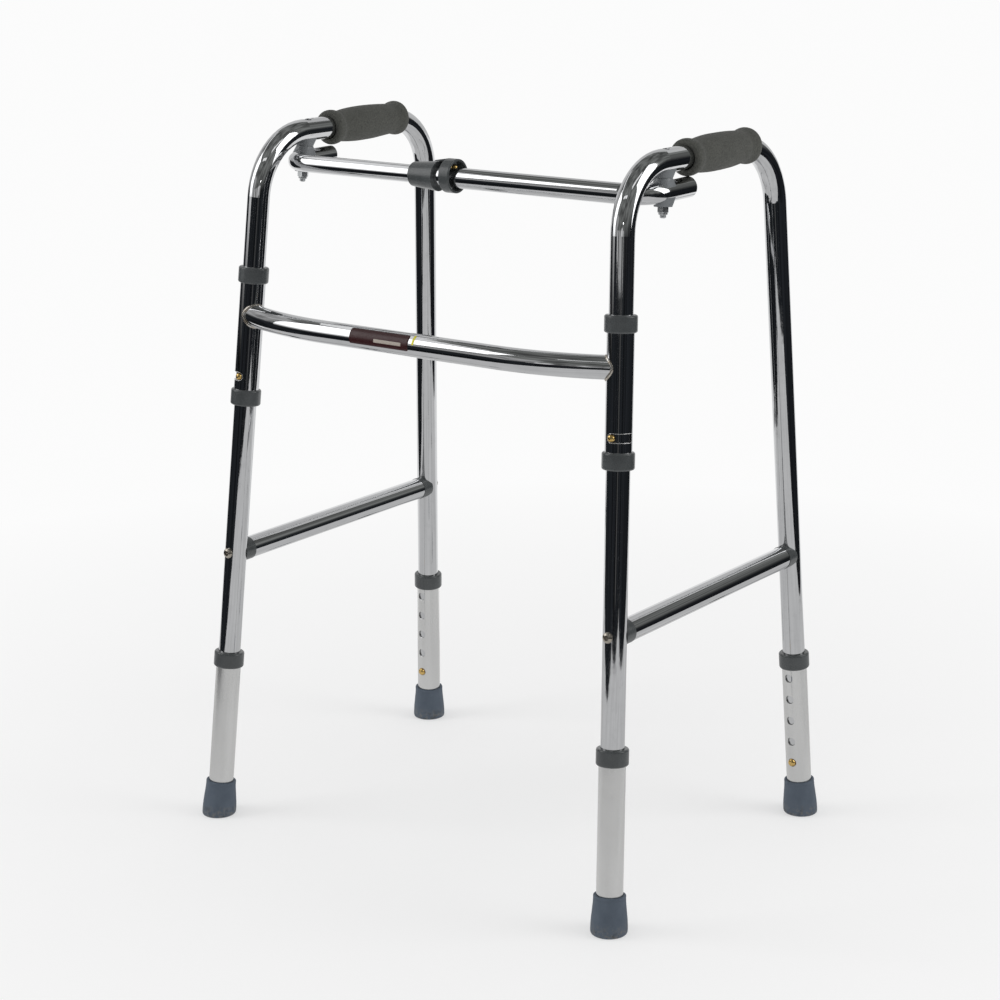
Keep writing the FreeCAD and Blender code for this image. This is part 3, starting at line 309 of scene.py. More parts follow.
def weld_metal(name):
    """Polished-over weld with a trace of heat tint."""
    r = Recipe(name)
    r.fix(Metallic=1.0)
    cloud = r.noise(260.0, 3.0, 0.6)
    color = r.mix(r.span(cloud, 0.35, 0.65), (0.56, 0.55, 0.53), (0.44, 0.38, 0.30))
    return r.finish(color, r.span(cloud, 0.3, 0.7, 0.16, 0.34), r.bump(cloud, 0.02 * MM))


LABEL_MAROON = (0.030, 0.006, 0.007)
LABEL_SILVER = (0.36, 0.32, 0.28)
# the silver band's ends and edges, as shares of the label's width and height
BAND_WIDTH = (0.42, 0.88)
BAND_HEIGHT = (0.30, 0.52)


def label_print(name, low, high):
    """A maroon film with one silver band and no lettering. low and high are the label's box."""
    r = Recipe(name)
    r.fix(Specular_IOR_Level=0.3, Coat_Weight=0.12, Coat_Roughness=0.2)
    parts = r.add("ShaderNodeSeparateXYZ")
    r.link(r.place, parts.inputs["Vector"])
    height = r.span(parts.outputs["Z"], low.z, high.z)
    band = r.math("MULTIPLY", r.math("GREATER_THAN", height, BAND_HEIGHT[0]),
                  r.math("LESS_THAN", height, BAND_HEIGHT[1]))
    start, end = (low.x + (high.x - low.x) * share for share in BAND_WIDTH)
    inside = r.math("MULTIPLY", r.math("GREATER_THAN", parts.outputs["X"], start),
                    r.math("LESS_THAN", parts.outputs["X"], end))
    share = r.math("MULTIPLY", band, inside)
    wear = r.span(r.noise(900.0, 4.0, 0.65), 0.62, 0.75, 0.0, 0.25)
    color = r.mix(share, LABEL_MAROON, LABEL_SILVER)
    color = r.mix(wear, color, (0.30, 0.26, 0.24))
    return r.finish(color, r.span(r.noise(300.0), 0.3, 0.7, 0.28, 0.42))


def yellow_tape(name):
    r = Recipe(name)
    cloud = r.noise(800.0, 3.0, 0.6)
    color = r.mix(r.span(cloud, 0.3, 0.7), (0.72, 0.66, 0.03), (0.55, 0.50, 0.02))
    return r.finish(color, r.span(cloud, 0.3, 0.7, 0.4, 0.6))


def spring_metal(name):
    return plated(name, (0.30, 0.29, 0.28), 0.25, 0.45)


# ---------------------------------------------------------------- reading the frame

def leg_axis(end, side):
    """Up along a leg: the way its extension slides back in."""
    return -Vector(JOINTS[f"extend_{end}_{side}"]["axis"]).normalized()


def leg_foot(end, side):
    """Where a leg's axis meets the floor."""
    mount = next(m for m in frame["record"]["mounts"] if m["name"] == f"foot_{end}_{side}")
    return Vector(mount["pos_m"])


def ring_centre(node, at):
    """The middle of a node's vertices whose Y is within half a millimetre of at."""
    ring = [v.co for v in NODES[node].data.vertices if abs(v.co.y - at) < 0.5 * MM]
    x = [p.x for p in ring]
    z = [p.z for p in ring]
    return Vector(((min(x) + max(x)) / 2, at, (min(z) + max(z)) / 2))


def paint(node, material):
    node = NODES[node]
    for i in range(len(node.data.materials)):
        node.data.materials[i] = material


# ---------------------------------------------------------------- drawing meshes

def new_piece(name, points, faces, material, smooth=True):
    mesh = bpy.data.meshes.new(name)
    mesh.from_pydata([tuple(p) for p in points], [], faces)
    mesh.materials.append(material)
    mesh.validate()
    if smooth:
        mesh.polygons.foreach_set("use_smooth", [True] * len(mesh.polygons))
    mesh.update()
    piece = bpy.data.objects.new(name, mesh)
    bpy.context.scene.collection.objects.link(piece)
    return piece


def lattice_faces(rows, columns, closed_rows=False):
    """Faces of a grid of points whose columns close into rings."""
    faces = []
    for i in range(rows if closed_rows else rows - 1):
        below = i * columns
        above = (i + 1) % rows * columns
        for j in range(columns):
            k = (j + 1) % columns
            faces.append((below + j, below + k, above + k, above + j))
    return faces


def curve_through(knots, steps):
    """Points on a Catmull-Rom curve through knots of (radius, height)."""
    ends = [knots[0], *knots, knots[-1]]
    points = []
    for a, b, c, e in zip(ends, ends[1:], ends[2:], ends[3:]):
        for i in range(steps):
            t = i / steps
            points.append(tuple(
                0.5 * (2 * q + (s - p) * t + (2 * p - 5 * q + 4 * s - u) * t * t
                       + (3 * q - p - 3 * s + u) * t * t * t)
                for p, q, s, u in zip(a, b, c, e)))
    points.append(knots[-1])
    return points


def basis(axis, hint=RIGHT):
    """Two directions square to axis, the first as near hint as that allows."""
    axis = Vector(axis).normalized()
    first = (hint - axis * hint.dot(axis)).normalized()
    return first, axis.cross(first)


# ---------------------------------------------------------------- foam grips

GRIP_BORE = 12.75
# radius and distance from the front end, in millimetres, for a grip 127.5 long
GRIP_KNOTS = [
    (GRIP_BORE, 2.4), (GRIP_BORE + 0.4, 0.5), (15.0, 0.0), (17.8, 0.9), (19.3, 3.2), (19.7, 6.6),
    (19.3, 10.2), (18.1, 13.6), (17.5, 17.4), (17.9, 23.0), (19.0, 34.0), (19.7, 48.0), (19.8, 62.0),
    (19.5, 76.0), (18.8, 90.0), (18.0, 102.0), (17.6, 108.6), (18.1, 113.4), (19.2, 117.4), (19.7, 121.0),
    (19.3, 124.4), (17.9, 126.7), (15.0, 127.5), (GRIP_BORE + 0.4, 127.0), (GRIP_BORE, 125.1),
]
GRIP_SEGMENTS = 120
GRIP_STEPS = 6
# how fine and how deep the foam's unevenness is
GRIP_SWELLS = ((55, 0.22), (300, 0.07))


def make_grip(side, material):
    node = f"grip_{side}"
    low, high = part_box(node)
    front = ring_centre(node, low.y)
    rear = ring_centre(node, high.y)
    axis = (rear - front).normalized()
    stretch = (rear - front).length / (GRIP_KNOTS[-3][1] * MM)
    across, upright = basis(axis)
    points = []
    profile = curve_through(GRIP_KNOTS, GRIP_STEPS)
    for radius, height in profile:
        for j in range(GRIP_SEGMENTS):
            angle = 2 * math.pi * j / GRIP_SEGMENTS
            outwards = across * math.cos(angle) + upright * math.sin(angle)
            point = front + axis * (height * MM * stretch) + outwards * (radius * MM)
            if radius > GRIP_BORE + 1:
                swell = sum(noise.noise(point * fineness) * depth for fineness, depth in GRIP_SWELLS)
                point += outwards * (swell * MM)
            points.append(point)
    faces = lattice_faces(len(profile), GRIP_SEGMENTS)
    grip = new_piece(f"foam_grip_{side}", points, faces, material)
    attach(grip, f"{side}_side")
    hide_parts(node)


# ---------------------------------------------------------------- rubber feet

FOOT_BORE = 14.35
# radius and height above the floor along the leg, in millimetres, from the sole's edge to the bore
FOOT_KNOTS = [
    (17.2, 0.0), (18.8, 0.3), (19.6, 1.5), (19.8, 4.5), (19.65, 9.5), (19.3, 15.0), (18.7, 21.0),
    (18.1, 27.0), (17.6, 32.0), (17.35, 36.6), (17.3, 37.6), (17.1, 38.0), (17.3, 38.4), (17.4, 39.6),
    (17.2, 40.7), (16.5, 41.25), (FOOT_BORE + 0.7, 41.3), (FOOT_BORE, 40.6), (FOOT_BORE, 36.0),
]
FOOT_TILT_HEIGHT = 24.0
FOOT_SEGMENTS = 128
FOOT_STEPS = 5
TREAD_RINGS = (15.2, 12.6, 10.0, 7.4, 4.8, 2.2)
TREAD_WIDTH = 0.9
TREAD_DEPTH = 1.3
SEAM_RISE = 0.16
SEAM_WIDTH = math.radians(1.6)
SEAM_HEIGHTS = (2, 37)
SEAM_LEAST_RADIUS = 18


def sole_profile():
    """From the middle of the sole out to its edge: flat rings with grooves between them."""
    profile = [(0.02, 0.0)]
    for radius in sorted(TREAD_RINGS):
        half = TREAD_WIDTH / 2
        profile += [
            (radius - half, 0.0),
            (radius - half * 0.6, TREAD_DEPTH),
            (radius + half * 0.6, TREAD_DEPTH),
            (radius + half, 0.0),
        ]
    return profile


def foot_seam(angle, height):
    """How far the mould's parting line stands out, on two opposite sides."""
    away = min(abs(math.remainder(angle, math.pi)), math.pi)
    share = max(0.0, 1 - away / SEAM_WIDTH)
    return SEAM_RISE * share if SEAM_HEIGHTS[0] < height < SEAM_HEIGHTS[1] else 0.0


def make_foot(end, side, material):
    """Stands flat on the floor: its rings are level at the sole and square to the leg higher up."""
    node = f"ferrule_{end}_{side}"
    axis = leg_axis(end, side)
    foot = leg_foot(end, side)
    points = []
    profile = sole_profile() + curve_through(FOOT_KNOTS, FOOT_STEPS)
    for radius, height in profile:
        share = min(1.0, height / FOOT_TILT_HEIGHT)
        share = share * share * (3 - 2 * share)
        normal = UP.lerp(axis, share).normalized()
        across, forward = basis(normal, REARWARD)
        centre = foot + axis * (height * MM / axis.z * (1 - share) + height * MM * share)
        for j in range(FOOT_SEGMENTS):
            angle = 2 * math.pi * j / FOOT_SEGMENTS
            outwards = across * math.cos(angle) + forward * math.sin(angle)
            size = radius + (foot_seam(angle, height) if radius > SEAM_LEAST_RADIUS else 0)
            points.append(centre + outwards * (size * MM))
    faces = lattice_faces(len(profile), FOOT_SEGMENTS)
    piece = new_piece(f"rubber_foot_{end}_{side}", points, faces, material)
    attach(piece, f"{end}_{side}_extension")
    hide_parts(node)


# ---------------------------------------------------------------- welds

CROSSBAR_TURN = math.radians(25.8)
CROSSBAR_RADIUS = 12.7
SLEEVE_RADIUS = 14.3
BEAD_RADIUS = 1.75
BEAD_RIPPLE = 1.15
BEAD_FLATNESS = 0.62
BEAD_LEAST = 0.93
BEAD_SWELL = 0.10
BEAD_UNEVENNESS = 0.12
BEAD_FINENESS = 180
BEAD_STEPS = 420
BEAD_SEGMENTS = 14


def joint_point(side, angle):
    """Where the crossbar's end meets the sleeve, at an angle round the crossbar, and the way out of both."""
    hinge = JOINTS[f"fold_{side}"]
    axis = Vector(hinge["axis"]).normalized()
    axis = axis if axis.z > 0 else -axis
    low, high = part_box("crossbar")
    height = (low.z + high.z) / 2
    centre = Vector(hinge["pos_m"]) + axis * (height / axis.z)
    sign = 1 if side == "right" else -1
    along = Vector((-sign * math.cos(CROSSBAR_TURN), -math.sin(CROSSBAR_TURN), 0))
    across, upright = basis(along, UP)
    spoke = across * math.cos(angle) + upright * math.sin(angle)
    start = spoke * (CROSSBAR_RADIUS * MM)
    # along the crossbar to the sleeve's surface: |start + along * t| square to the axis is its radius
    flat_start = start - axis * start.dot(axis)
    flat_along = along - axis * along.dot(axis)
    a = flat_along.dot(flat_along)
    b = 2 * flat_start.dot(flat_along)
    c = flat_start.dot(flat_start) - (SLEEVE_RADIUS * MM) ** 2
    t = (-b + math.sqrt(max(0.0, b * b - 4 * a * c))) / (2 * a)
    point = start + along * t
    from_sleeve = (point - axis * point.dot(axis)).normalized()
    return centre + point, (spoke + from_sleeve).normalized()


def make_weld(side, material):
    """A bead round the joint, laid in overlapping ripples."""
    path = [joint_point(side, 2 * math.pi * i / BEAD_STEPS) for i in range(BEAD_STEPS)]
    points = []
    travelled = 0.0
    for i, (place, out) in enumerate(path):
        ahead = path[(i + 1) % BEAD_STEPS][0]
        tangent = (ahead - path[i - 1][0]).normalized()
        travelled += (ahead - place).length / MM
        phase = travelled / BEAD_RIPPLE % 1.0
        size = BEAD_RADIUS * (BEAD_LEAST + BEAD_SWELL * math.sqrt(1 - phase))
        size += BEAD_UNEVENNESS * noise.noise(place * BEAD_FINENESS)
        first = (out - tangent * out.dot(tangent)).normalized()
        second = tangent.cross(first)
        for j in range(BEAD_SEGMENTS):
            angle = 2 * math.pi * j / BEAD_SEGMENTS
            ring = first * (math.cos(angle) * BEAD_FLATNESS) + second * math.sin(angle)
            points.append(place + ring * (size * MM))
    faces = lattice_faces(BEAD_STEPS, BEAD_SEGMENTS, closed_rows=True)
    return new_piece(f"weld_bead_{side}", points, faces, material)


def make_welds(material):
    """Both beads. The left one also takes the place of the CAD's node, which holds the two of them."""
    for side in SIDES:
        bead = make_weld(side, material)
        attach(bead, "front_frame")
        if side == "left":
            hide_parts("crossbar_welds")


# ---------------------------------------------------------------- slot rims

SLOT_HEIGHT = 521.0
SLOT_HALF = 4.85
SLOT_ANGLE = math.radians(100.0)
SLOT_RIM = 0.26
SLOT_RIM_SEGMENTS = 10
SLOT_LENGTH_STEPS = 60
SLOT_END_STEPS = 16
SLOT_ROUND_STEPS = 24


def slot_outline(side):
    """The slot's edge on the sleeve, as turn and rise: round about the button, square at the far end."""
    turn = 1 if side == "right" else -1
    length = range(1, SLOT_LENGTH_STEPS + 1)
    outline = [(0.0, -SLOT_HALF)]
    outline += [(turn * SLOT_ANGLE * k / SLOT_LENGTH_STEPS, -SLOT_HALF) for k in length]
    outline += [(turn * SLOT_ANGLE, -SLOT_HALF + SLOT_HALF * 2 * k / SLOT_END_STEPS)
                for k in range(1, SLOT_END_STEPS + 1)]
    outline += [(turn * SLOT_ANGLE * (1 - k / SLOT_LENGTH_STEPS), SLOT_HALF) for k in length]
    for k in range(1, SLOT_ROUND_STEPS):
        angle = math.pi / 2 + math.pi * k / SLOT_ROUND_STEPS
        outline.append((turn * math.cos(angle) * SLOT_HALF / SLEEVE_RADIUS, math.sin(angle) * SLOT_HALF))
    return outline


def make_slot_rim(side, material):
    """The bright edge of the slot that the sleeve's button travels in."""
    axis = leg_axis("front", side)
    centre = leg_foot("front", side) + axis * (SLOT_HEIGHT * MM / axis.z)
    forward = (axis * axis.y - REARWARD).normalized()
    rightward = (RIGHT - axis * axis.x).normalized()
    rightward = (rightward - forward * rightward.dot(forward)).normalized()
    path = []
    for turn, rise in slot_outline(side):
        out = forward * math.cos(turn) + rightward * math.sin(turn)
        path.append((centre + out * (SLEEVE_RADIUS * MM) + axis * (rise * MM), out))
    points = []
    for i, (place, out) in enumerate(path):
        along = (path[(i + 1) % len(path)][0] - path[i - 1][0]).normalized()
        second = along.cross(out).normalized()
        for j in range(SLOT_RIM_SEGMENTS):
            angle = 2 * math.pi * j / SLOT_RIM_SEGMENTS
            points.append(place + (out * math.cos(angle) + second * math.sin(angle)) * (SLOT_RIM * MM))
    faces = lattice_faces(len(path), SLOT_RIM_SEGMENTS, closed_rows=True)
    rim = new_piece(f"slot_rim_{side}", points, faces, material)
    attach(rim, "front_frame")


# ---------------------------------------------------------------- label

LABEL_TOP = math.radians(62.0)
LABEL_BOTTOM = math.radians(-20.0)
LABEL_THICKNESS = 0.16
LABEL_CORNER = 1.8
TAPE_X = (14.3, 17.0)
TAPE_ANGLES = (math.radians(66.0), math.radians(14.0))
TAPE_CORNER = 0.3
FILM_GAP = 0.02
FILM_COLUMNS = 60
FILM_ROWS = 40


def film(name, x_range, angles, corner, material):
    """A thin film round the front of the crossbar, with rounded corners. Angles rise from -Y to +Z."""
    low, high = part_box("crossbar")
    radius = CROSSBAR_RADIUS * MM
    axis_height = (low.z + high.z) / 2
    axis_y = low.y + radius
    top, bottom = angles
    width = x_range[1] - x_range[0]
    tall = abs(top - bottom) * CROSSBAR_RADIUS
    points = []
    for face_rise in (LABEL_THICKNESS, FILM_GAP):
        for i in range(FILM_ROWS + 1):
            v = tall * i / FILM_ROWS
            inset = corner_inset(v, tall, corner)
            for j in range(FILM_COLUMNS + 1):
                u = inset + (width - 2 * inset) * j / FILM_COLUMNS
                angle = bottom + (top - bottom) * v / tall
                r = radius + face_rise * MM
                points.append((x_range[0] * MM + u * MM, axis_y - r * math.cos(angle),
                               axis_height + r * math.sin(angle)))
    return new_piece(name, points, film_faces(FILM_ROWS + 1, FILM_COLUMNS + 1), material)


def corner_inset(v, tall, corner):
    """How far a film's end is set in at height v, for rounded corners."""
    edge = min(v, tall - v)
    if edge >= corner:
        return 0.0
    return corner - math.sqrt(max(0.0, corner ** 2 - (corner - edge) ** 2))


def film_faces(rows, columns):
    """Two sheets of points, one behind the other, closed round their edge."""
    behind = rows * columns
    faces = []
    for i in range(rows - 1):
        for j in range(columns - 1):
            a = i * columns + j
            quad = (a, a + 1, a + columns + 1, a + columns)
            faces.append(quad)
            faces.append(tuple(behind + k for k in reversed(quad)))
    rim = list(range(columns))
    rim += [i * columns + columns - 1 for i in range(1, rows)]
    rim += [(rows - 1) * columns + j for j in range(columns - 2, -1, -1)]
    rim += [i * columns for i in range(rows - 2, 0, -1)]
    for a, b in zip(rim, rim[1:] + rim[:1]):
        faces.append((b, a, behind + a, behind + b))
    return faces


def make_label():
    low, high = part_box("crossbar_label")
    sticker = film("label", (low.x / MM, high.x / MM), (LABEL_TOP, LABEL_BOTTOM), LABEL_CORNER,
                   label_print("label_print", low, high))
    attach(sticker, "front_frame")
    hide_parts("crossbar_label")
    tape = film("tape_mark", TAPE_X, TAPE_ANGLES, TAPE_CORNER, yellow_tape("yellow_tape"))
    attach(tape, "front_frame")


# ---------------------------------------------------------------- bolt threads

THREAD_PITCH = 1.0
THREAD_CREST = 3.42
THREAD_ROOT = 3.10
THREAD_SEGMENTS = 64
THREAD_ROWS_PER_TURN = 12
THREAD_CREST_FLAT = 1.25
THREAD_TIP_GAP = 0.7
THREAD_END_SINK = 0.1


def make_thread(side, material):
    """The thread on the end of a bolt, below its nut."""
    pivot = JOINTS[f"bar_{side}_pivot"]
    axis = Vector(pivot["axis"]).normalized()
    axis = axis if axis.z > 0 else -axis
    origin = Vector(pivot["pos_m"])
    heights = [(v.co - origin).dot(axis) / MM for v in NODES[f"bar_nut_{side}"].data.vertices]
    nut_bottom = min(heights)
    tip = min((v.co - origin).dot(axis) / MM for v in NODES[f"bar_bolt_{side}"].data.vertices)
    length = nut_bottom - tip - THREAD_TIP_GAP
    rows = int(length / THREAD_PITCH * THREAD_ROWS_PER_TURN) + 1
    across, forward = basis(axis)
    points = []
    for i in range(rows):
        rise = length * i / (rows - 1)
        for j in range(THREAD_SEGMENTS):
            angle = 2 * math.pi * j / THREAD_SEGMENTS
            phase = (rise / THREAD_PITCH - j / THREAD_SEGMENTS) % 1.0
            crest = 1 - abs(2 * phase - 1)
            radius = THREAD_ROOT + (THREAD_CREST - THREAD_ROOT) * min(1.0, crest * THREAD_CREST_FLAT)
            if i in (0, rows - 1):
                radius = THREAD_ROOT - THREAD_END_SINK
            outwards = across * math.cos(angle) + forward * math.sin(angle)
            points.append(origin + axis * ((nut_bottom - rise) * MM) + outwards * (radius * MM))
    piece = new_piece(f"bolt_thread_{side}", points, lattice_faces(rows, THREAD_SEGMENTS), material)
    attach(piece, f"{side}_side")


# ---------------------------------------------------------------- dressing the model

def dress():
    """Gives every CAD node that still shows its material, and the bolts their threads."""
    collar = moulded("collar_plastic", (0.054, 0.059, 0.061), 0.24, 0.006)
    saddle = moulded("saddle_plastic", (0.150, 0.160, 0.168), 0.36)
    zinc = plated("zinc_steel", (0.62, 0.64, 0.65), 0.20, 0.36)
    nickel = plated("nickel_screw", (0.50, 0.46, 0.40), 0.16, 0.30)
    spring = spring_metal("spring_steel")
    button = brass("button_brass")
    bent = polished_tube("polished_tube_bent", ripple_depth=0.060)
    level = polished_tube("polished_tube_level", RIGHT)
    stretched = polished_tube("polished_tube_stretcher", REARWARD)
    for node in ("crossbar", "bar_inner_tube", "bar_outer_tube"):
        paint(node, level)
    for node in ("bar_collar", "release_ring"):
        paint(node, collar)
    paint("bar_button", button)
    paint("bar_spring", spring)
    for side in SIDES:
        paint(f"side_tube_{side}", bent)
        paint(f"stretcher_{side}", stretched)
        paint(f"sleeve_{side}", polished_tube(f"polished_sleeve_{side}", leg_axis("front", side)))
        paint(f"stretcher_screws_{side}", nickel)
        for node in (f"bar_bolt_{side}", f"bar_nut_{side}", f"bolt_spacer_{side}"):
            paint(node, zinc)
        for place in ("upper", "middle", "lower"):
            paint(f"saddle_{place}_{side}", saddle)
        for place in ("upper", "lower"):
            paint(f"sleeve_collar_{place}_{side}", collar)
        paint(f"sleeve_button_{side}", button)
        paint(f"button_springs_{side}", spring)
        make_thread(side, zinc)
        for end in ENDS:
            paint(f"extension_{end}_{side}", satin_tube(f"satin_tube_{end}_{side}", leg_axis(end, side)))
            paint(f"extension_collar_{end}_{side}", collar)
            paint(f"stretcher_cap_{end}_{side}", collar)
            paint(f"leg_button_{end}_{side}", button)


dress()
grip_foam = foam("grip_foam")
foot_rubber = rubber("foot_rubber")
for each_side in SIDES:
    make_grip(each_side, grip_foam)
    for each_end in ENDS:
        make_foot(each_end, each_side, foot_rubber)
make_welds(weld_metal("weld_bead"))
slot_metal = plated("slot_edge_metal", (0.86, 0.86, 0.85), 0.22, 0.38)
for each_side in SIDES:
    make_slot_rim(each_side, slot_metal)
make_label()

# ---------------------------------------------------------------- studio

# The frame stands on white paper that curves up behind it, in a dim room with two tall soft boxes.
# The camera sees only a wide pale floor. The paper, the panels and the room show in reflections.
# Panels and lights are placed by azimuth and elevation, in degrees, as the frame sees them.

PAPER = (0.94, 0.94, 0.94)
SUBJECT = Vector((0, 0, 0.62))
SWEEP_LEFT = -1.12
SWEEP_RIGHT = 1.35
SWEEP_FRONT = 2.60
SWEEP_BACK = -1.02
SWEEP_TOP = 1.85
SWEEP_BEND = 0.40
SWEEP_STEPS = 14
SWEEP_MIDDLE = 0.6
# the last rows of the paper's wall, which turns dimmer at the first of them
SWEEP_WALL_RISES = (0.75, 1.2, SWEEP_TOP)
SWEEP_DROP = 0.1 * MM
FLOOR_REACH = 60.0
FLOOR_DROP = 0.2 * MM
BOX_DISTANCE = 2.4
BOX_RADIANCE = 2.3
PANEL_DISTANCE = BOX_DISTANCE + 0.15
AMBIENT = 0.62
BACKGROUND = 0.97
ROOM_BELOW = (0.016, 0.018, 0.021)
ROOM_ABOVE = (0.17, 0.175, 0.17)
ROOM_RAMP_TOP = math.radians(14)


def toward(azimuth, elevation):
    """A direction from its azimuth, measured from the front towards +X, and its elevation, in degrees."""
    around = math.radians(azimuth)
    rise = math.radians(elevation)
    return Vector((math.cos(rise) * math.sin(around), -math.cos(rise) * math.cos(around), math.sin(rise)))


def only_in_reflections(piece):
    piece.visible_camera = False
    piece.visible_diffuse = False
    piece.visible_shadow = False
    piece.visible_transmission = False


def light_tree(name):
    """An empty material, its node tree and a source of coordinates."""
    material = bpy.data.materials.new(name)
    material.use_nodes = True
    tree = material.node_tree
    tree.nodes.clear()
    return material, tree, tree.nodes.new("ShaderNodeTexCoord")


def shine(tree, strength):
    """Makes a material's surface give off light of this strength."""
    light = tree.nodes.new("ShaderNodeEmission")
    tree.links.new(strength, light.inputs["Strength"])
    output = tree.nodes.new("ShaderNodeOutputMaterial")
    tree.links.new(light.outputs["Emission"], output.inputs["Surface"])


def glow(name, bright, dim, scale, stretch=1.0):
    """Softly mottled light from bright to dim."""
    material, tree, place = light_tree(name)
    squeeze = tree.nodes.new("ShaderNodeMapping")
    squeeze.inputs["Scale"].default_value = (1, 1, stretch)
    tree.links.new(place.outputs["Object"], squeeze.inputs["Vector"])
    cloud = tree.nodes.new("ShaderNodeTexNoise")
    cloud.inputs["Scale"].default_value = scale
    cloud.inputs["Detail"].default_value = 3.0
    tree.links.new(squeeze.outputs["Vector"], cloud.inputs["Vector"])
    tone = map_range(tree, cloud.outputs["Fac"], (0.35, 0.65, dim, bright))
    shine(tree, tone.outputs["Result"])
    return material


def fading_glow(name, radiance, fade):
    """Even light that dies away over the lowest part, fade, of a panel's height."""
    material, tree, place = light_tree(name)
    parts = tree.nodes.new("ShaderNodeSeparateXYZ")
    tree.links.new(place.outputs["Generated"], parts.inputs["Vector"])
    tone = map_range(tree, parts.outputs["Z"], (0.0, fade, 0.0, radiance))
    tone.interpolation_type = "SMOOTHSTEP"
    shine(tree, tone.outputs["Result"])
    return material


def floor_paper():
    """Matt white near the frame, so that it takes soft shadows, and evenly bright further out."""
    r = Recipe("floor_paper")
    r.fix(Specular_IOR_Level=0.0, Roughness=1.0)
    tone = r.mix(r.span(r.noise(6.0), 0.3, 0.7), PAPER, tuple(c * 0.99 for c in PAPER))
    r.link(tone, r.shader.inputs["Base Color"])
    away = r.add("ShaderNodeVectorMath", operation="LENGTH")
    r.link(r.place, away.inputs[0])
    share = r.span(away.outputs["Value"], 0.25, 1.5, 0.42, 1.0)
    even = r.add("ShaderNodeEmission")
    even.inputs["Strength"].default_value = BACKGROUND
    blend = r.add("ShaderNodeMixShader")
    r.link(share, blend.inputs["Fac"])
    r.link(r.shader.outputs["BSDF"], blend.inputs[1])
    r.link(even.outputs["Emission"], blend.inputs[2])
    r.link(blend.outputs["Shader"], r.tree.nodes["Material Output"].inputs["Surface"])
    return r.material


def make_floor():
    """A floor that reaches past the camera's view, just under the feet."""
    points = [(x * FLOOR_REACH, y * FLOOR_REACH, 0) for x, y in ((-1, -1), (1, -1), (1, 1), (-1, 1))]
    floor = new_piece("floor", points, [(0, 1, 2, 3)], floor_paper(), smooth=False)
    floor.location.z = -FLOOR_DROP
    floor.visible_glossy = False


def make_sweep():
    """The paper: brighter where it rises behind the frame and towards its top dimmer again."""
    profile = [(SWEEP_FRONT, 0.0), (SWEEP_MIDDLE, 0.0), (SWEEP_BACK + SWEEP_BEND, 0.0)]
    for k in range(1, SWEEP_STEPS + 1):
        angle = math.pi / 2 * k / SWEEP_STEPS
        profile.append((SWEEP_BACK + SWEEP_BEND - SWEEP_BEND * math.sin(angle),
                        SWEEP_BEND - SWEEP_BEND * math.cos(angle)))
    profile += [(SWEEP_BACK, rise) for rise in SWEEP_WALL_RISES]
    level = Vector((math.sin(CAMERA_YAW), -math.cos(CAMERA_YAW), 0))
    sideways = Vector((math.cos(CAMERA_YAW), math.sin(CAMERA_YAW), 0))
    points = []
    for distance, height in profile:
        for side in (SWEEP_LEFT, SWEEP_RIGHT):
            points.append(level * distance + sideways * side + UP * (height - SWEEP_DROP))
    strips = [(2 * i, 2 * i + 1, 2 * i + 3, 2 * i + 2) for i in range(len(profile) - 1)]
    for name, faces, bright, dim in (("paper_floor", strips[:2], 0.72, 0.62),
                                     ("paper_wall", strips[2:-2], 1.05, 0.90),
                                     ("paper_top", strips[-2:], 0.72, 0.58)):
        only_in_reflections(new_piece(name, points, faces, glow(name, bright, dim, 2.5), smooth=False))


def panel(name, azimuth, elevation, wide, tall, material, roll=0.0):
    """A flat panel that faces the frame. wide and tall are angles in degrees as the frame sees it."""
    out = toward(azimuth, elevation)
    across = UP.cross(out).normalized()
    upright = out.cross(across)
    turn = math.radians(roll)
    first = across * math.cos(turn) + upright * math.sin(turn)
    second = upright * math.cos(turn) - across * math.sin(turn)
    half_wide = PANEL_DISTANCE * math.tan(math.radians(wide / 2))
    half_tall = PANEL_DISTANCE * math.tan(math.radians(tall / 2))
    centre = SUBJECT + out * PANEL_DISTANCE
    corners = [centre + first * (x * half_wide) + second * (y * half_tall)
               for x, y in ((-1, -1), (1, -1), (1, 1), (-1, 1))]
    only_in_reflections(new_piece(name, corners, [(0, 1, 2, 3)], material, smooth=False))


def soft_box(name, azimuth, elevation, wide, tall, roll=0.0,
             distance=BOX_DISTANCE, radiance=BOX_RADIANCE):
    """A soft box aimed at the frame, as wide and tall, in degrees, as the frame sees it."""
    out = toward(azimuth, elevation)
    data = bpy.data.lights.new(name, "AREA")
    data.shape = "RECTANGLE"
    data.size = 2 * distance * math.tan(math.radians(wide / 2))
    data.size_y = 2 * distance * math.tan(math.radians(tall / 2))
    data.energy = radiance * math.pi * data.size * data.size_y
    light = bpy.data.objects.new(name, data)
    light.matrix_world = (Matrix.Translation(SUBJECT + out * distance)
                          @ (-out).to_track_quat("-Z", "Y").to_matrix().to_4x4()
                          @ Matrix.Rotation(math.radians(roll), 4, "Z"))
    light.visible_camera = False
    bpy.context.scene.collection.objects.link(light)
    return light


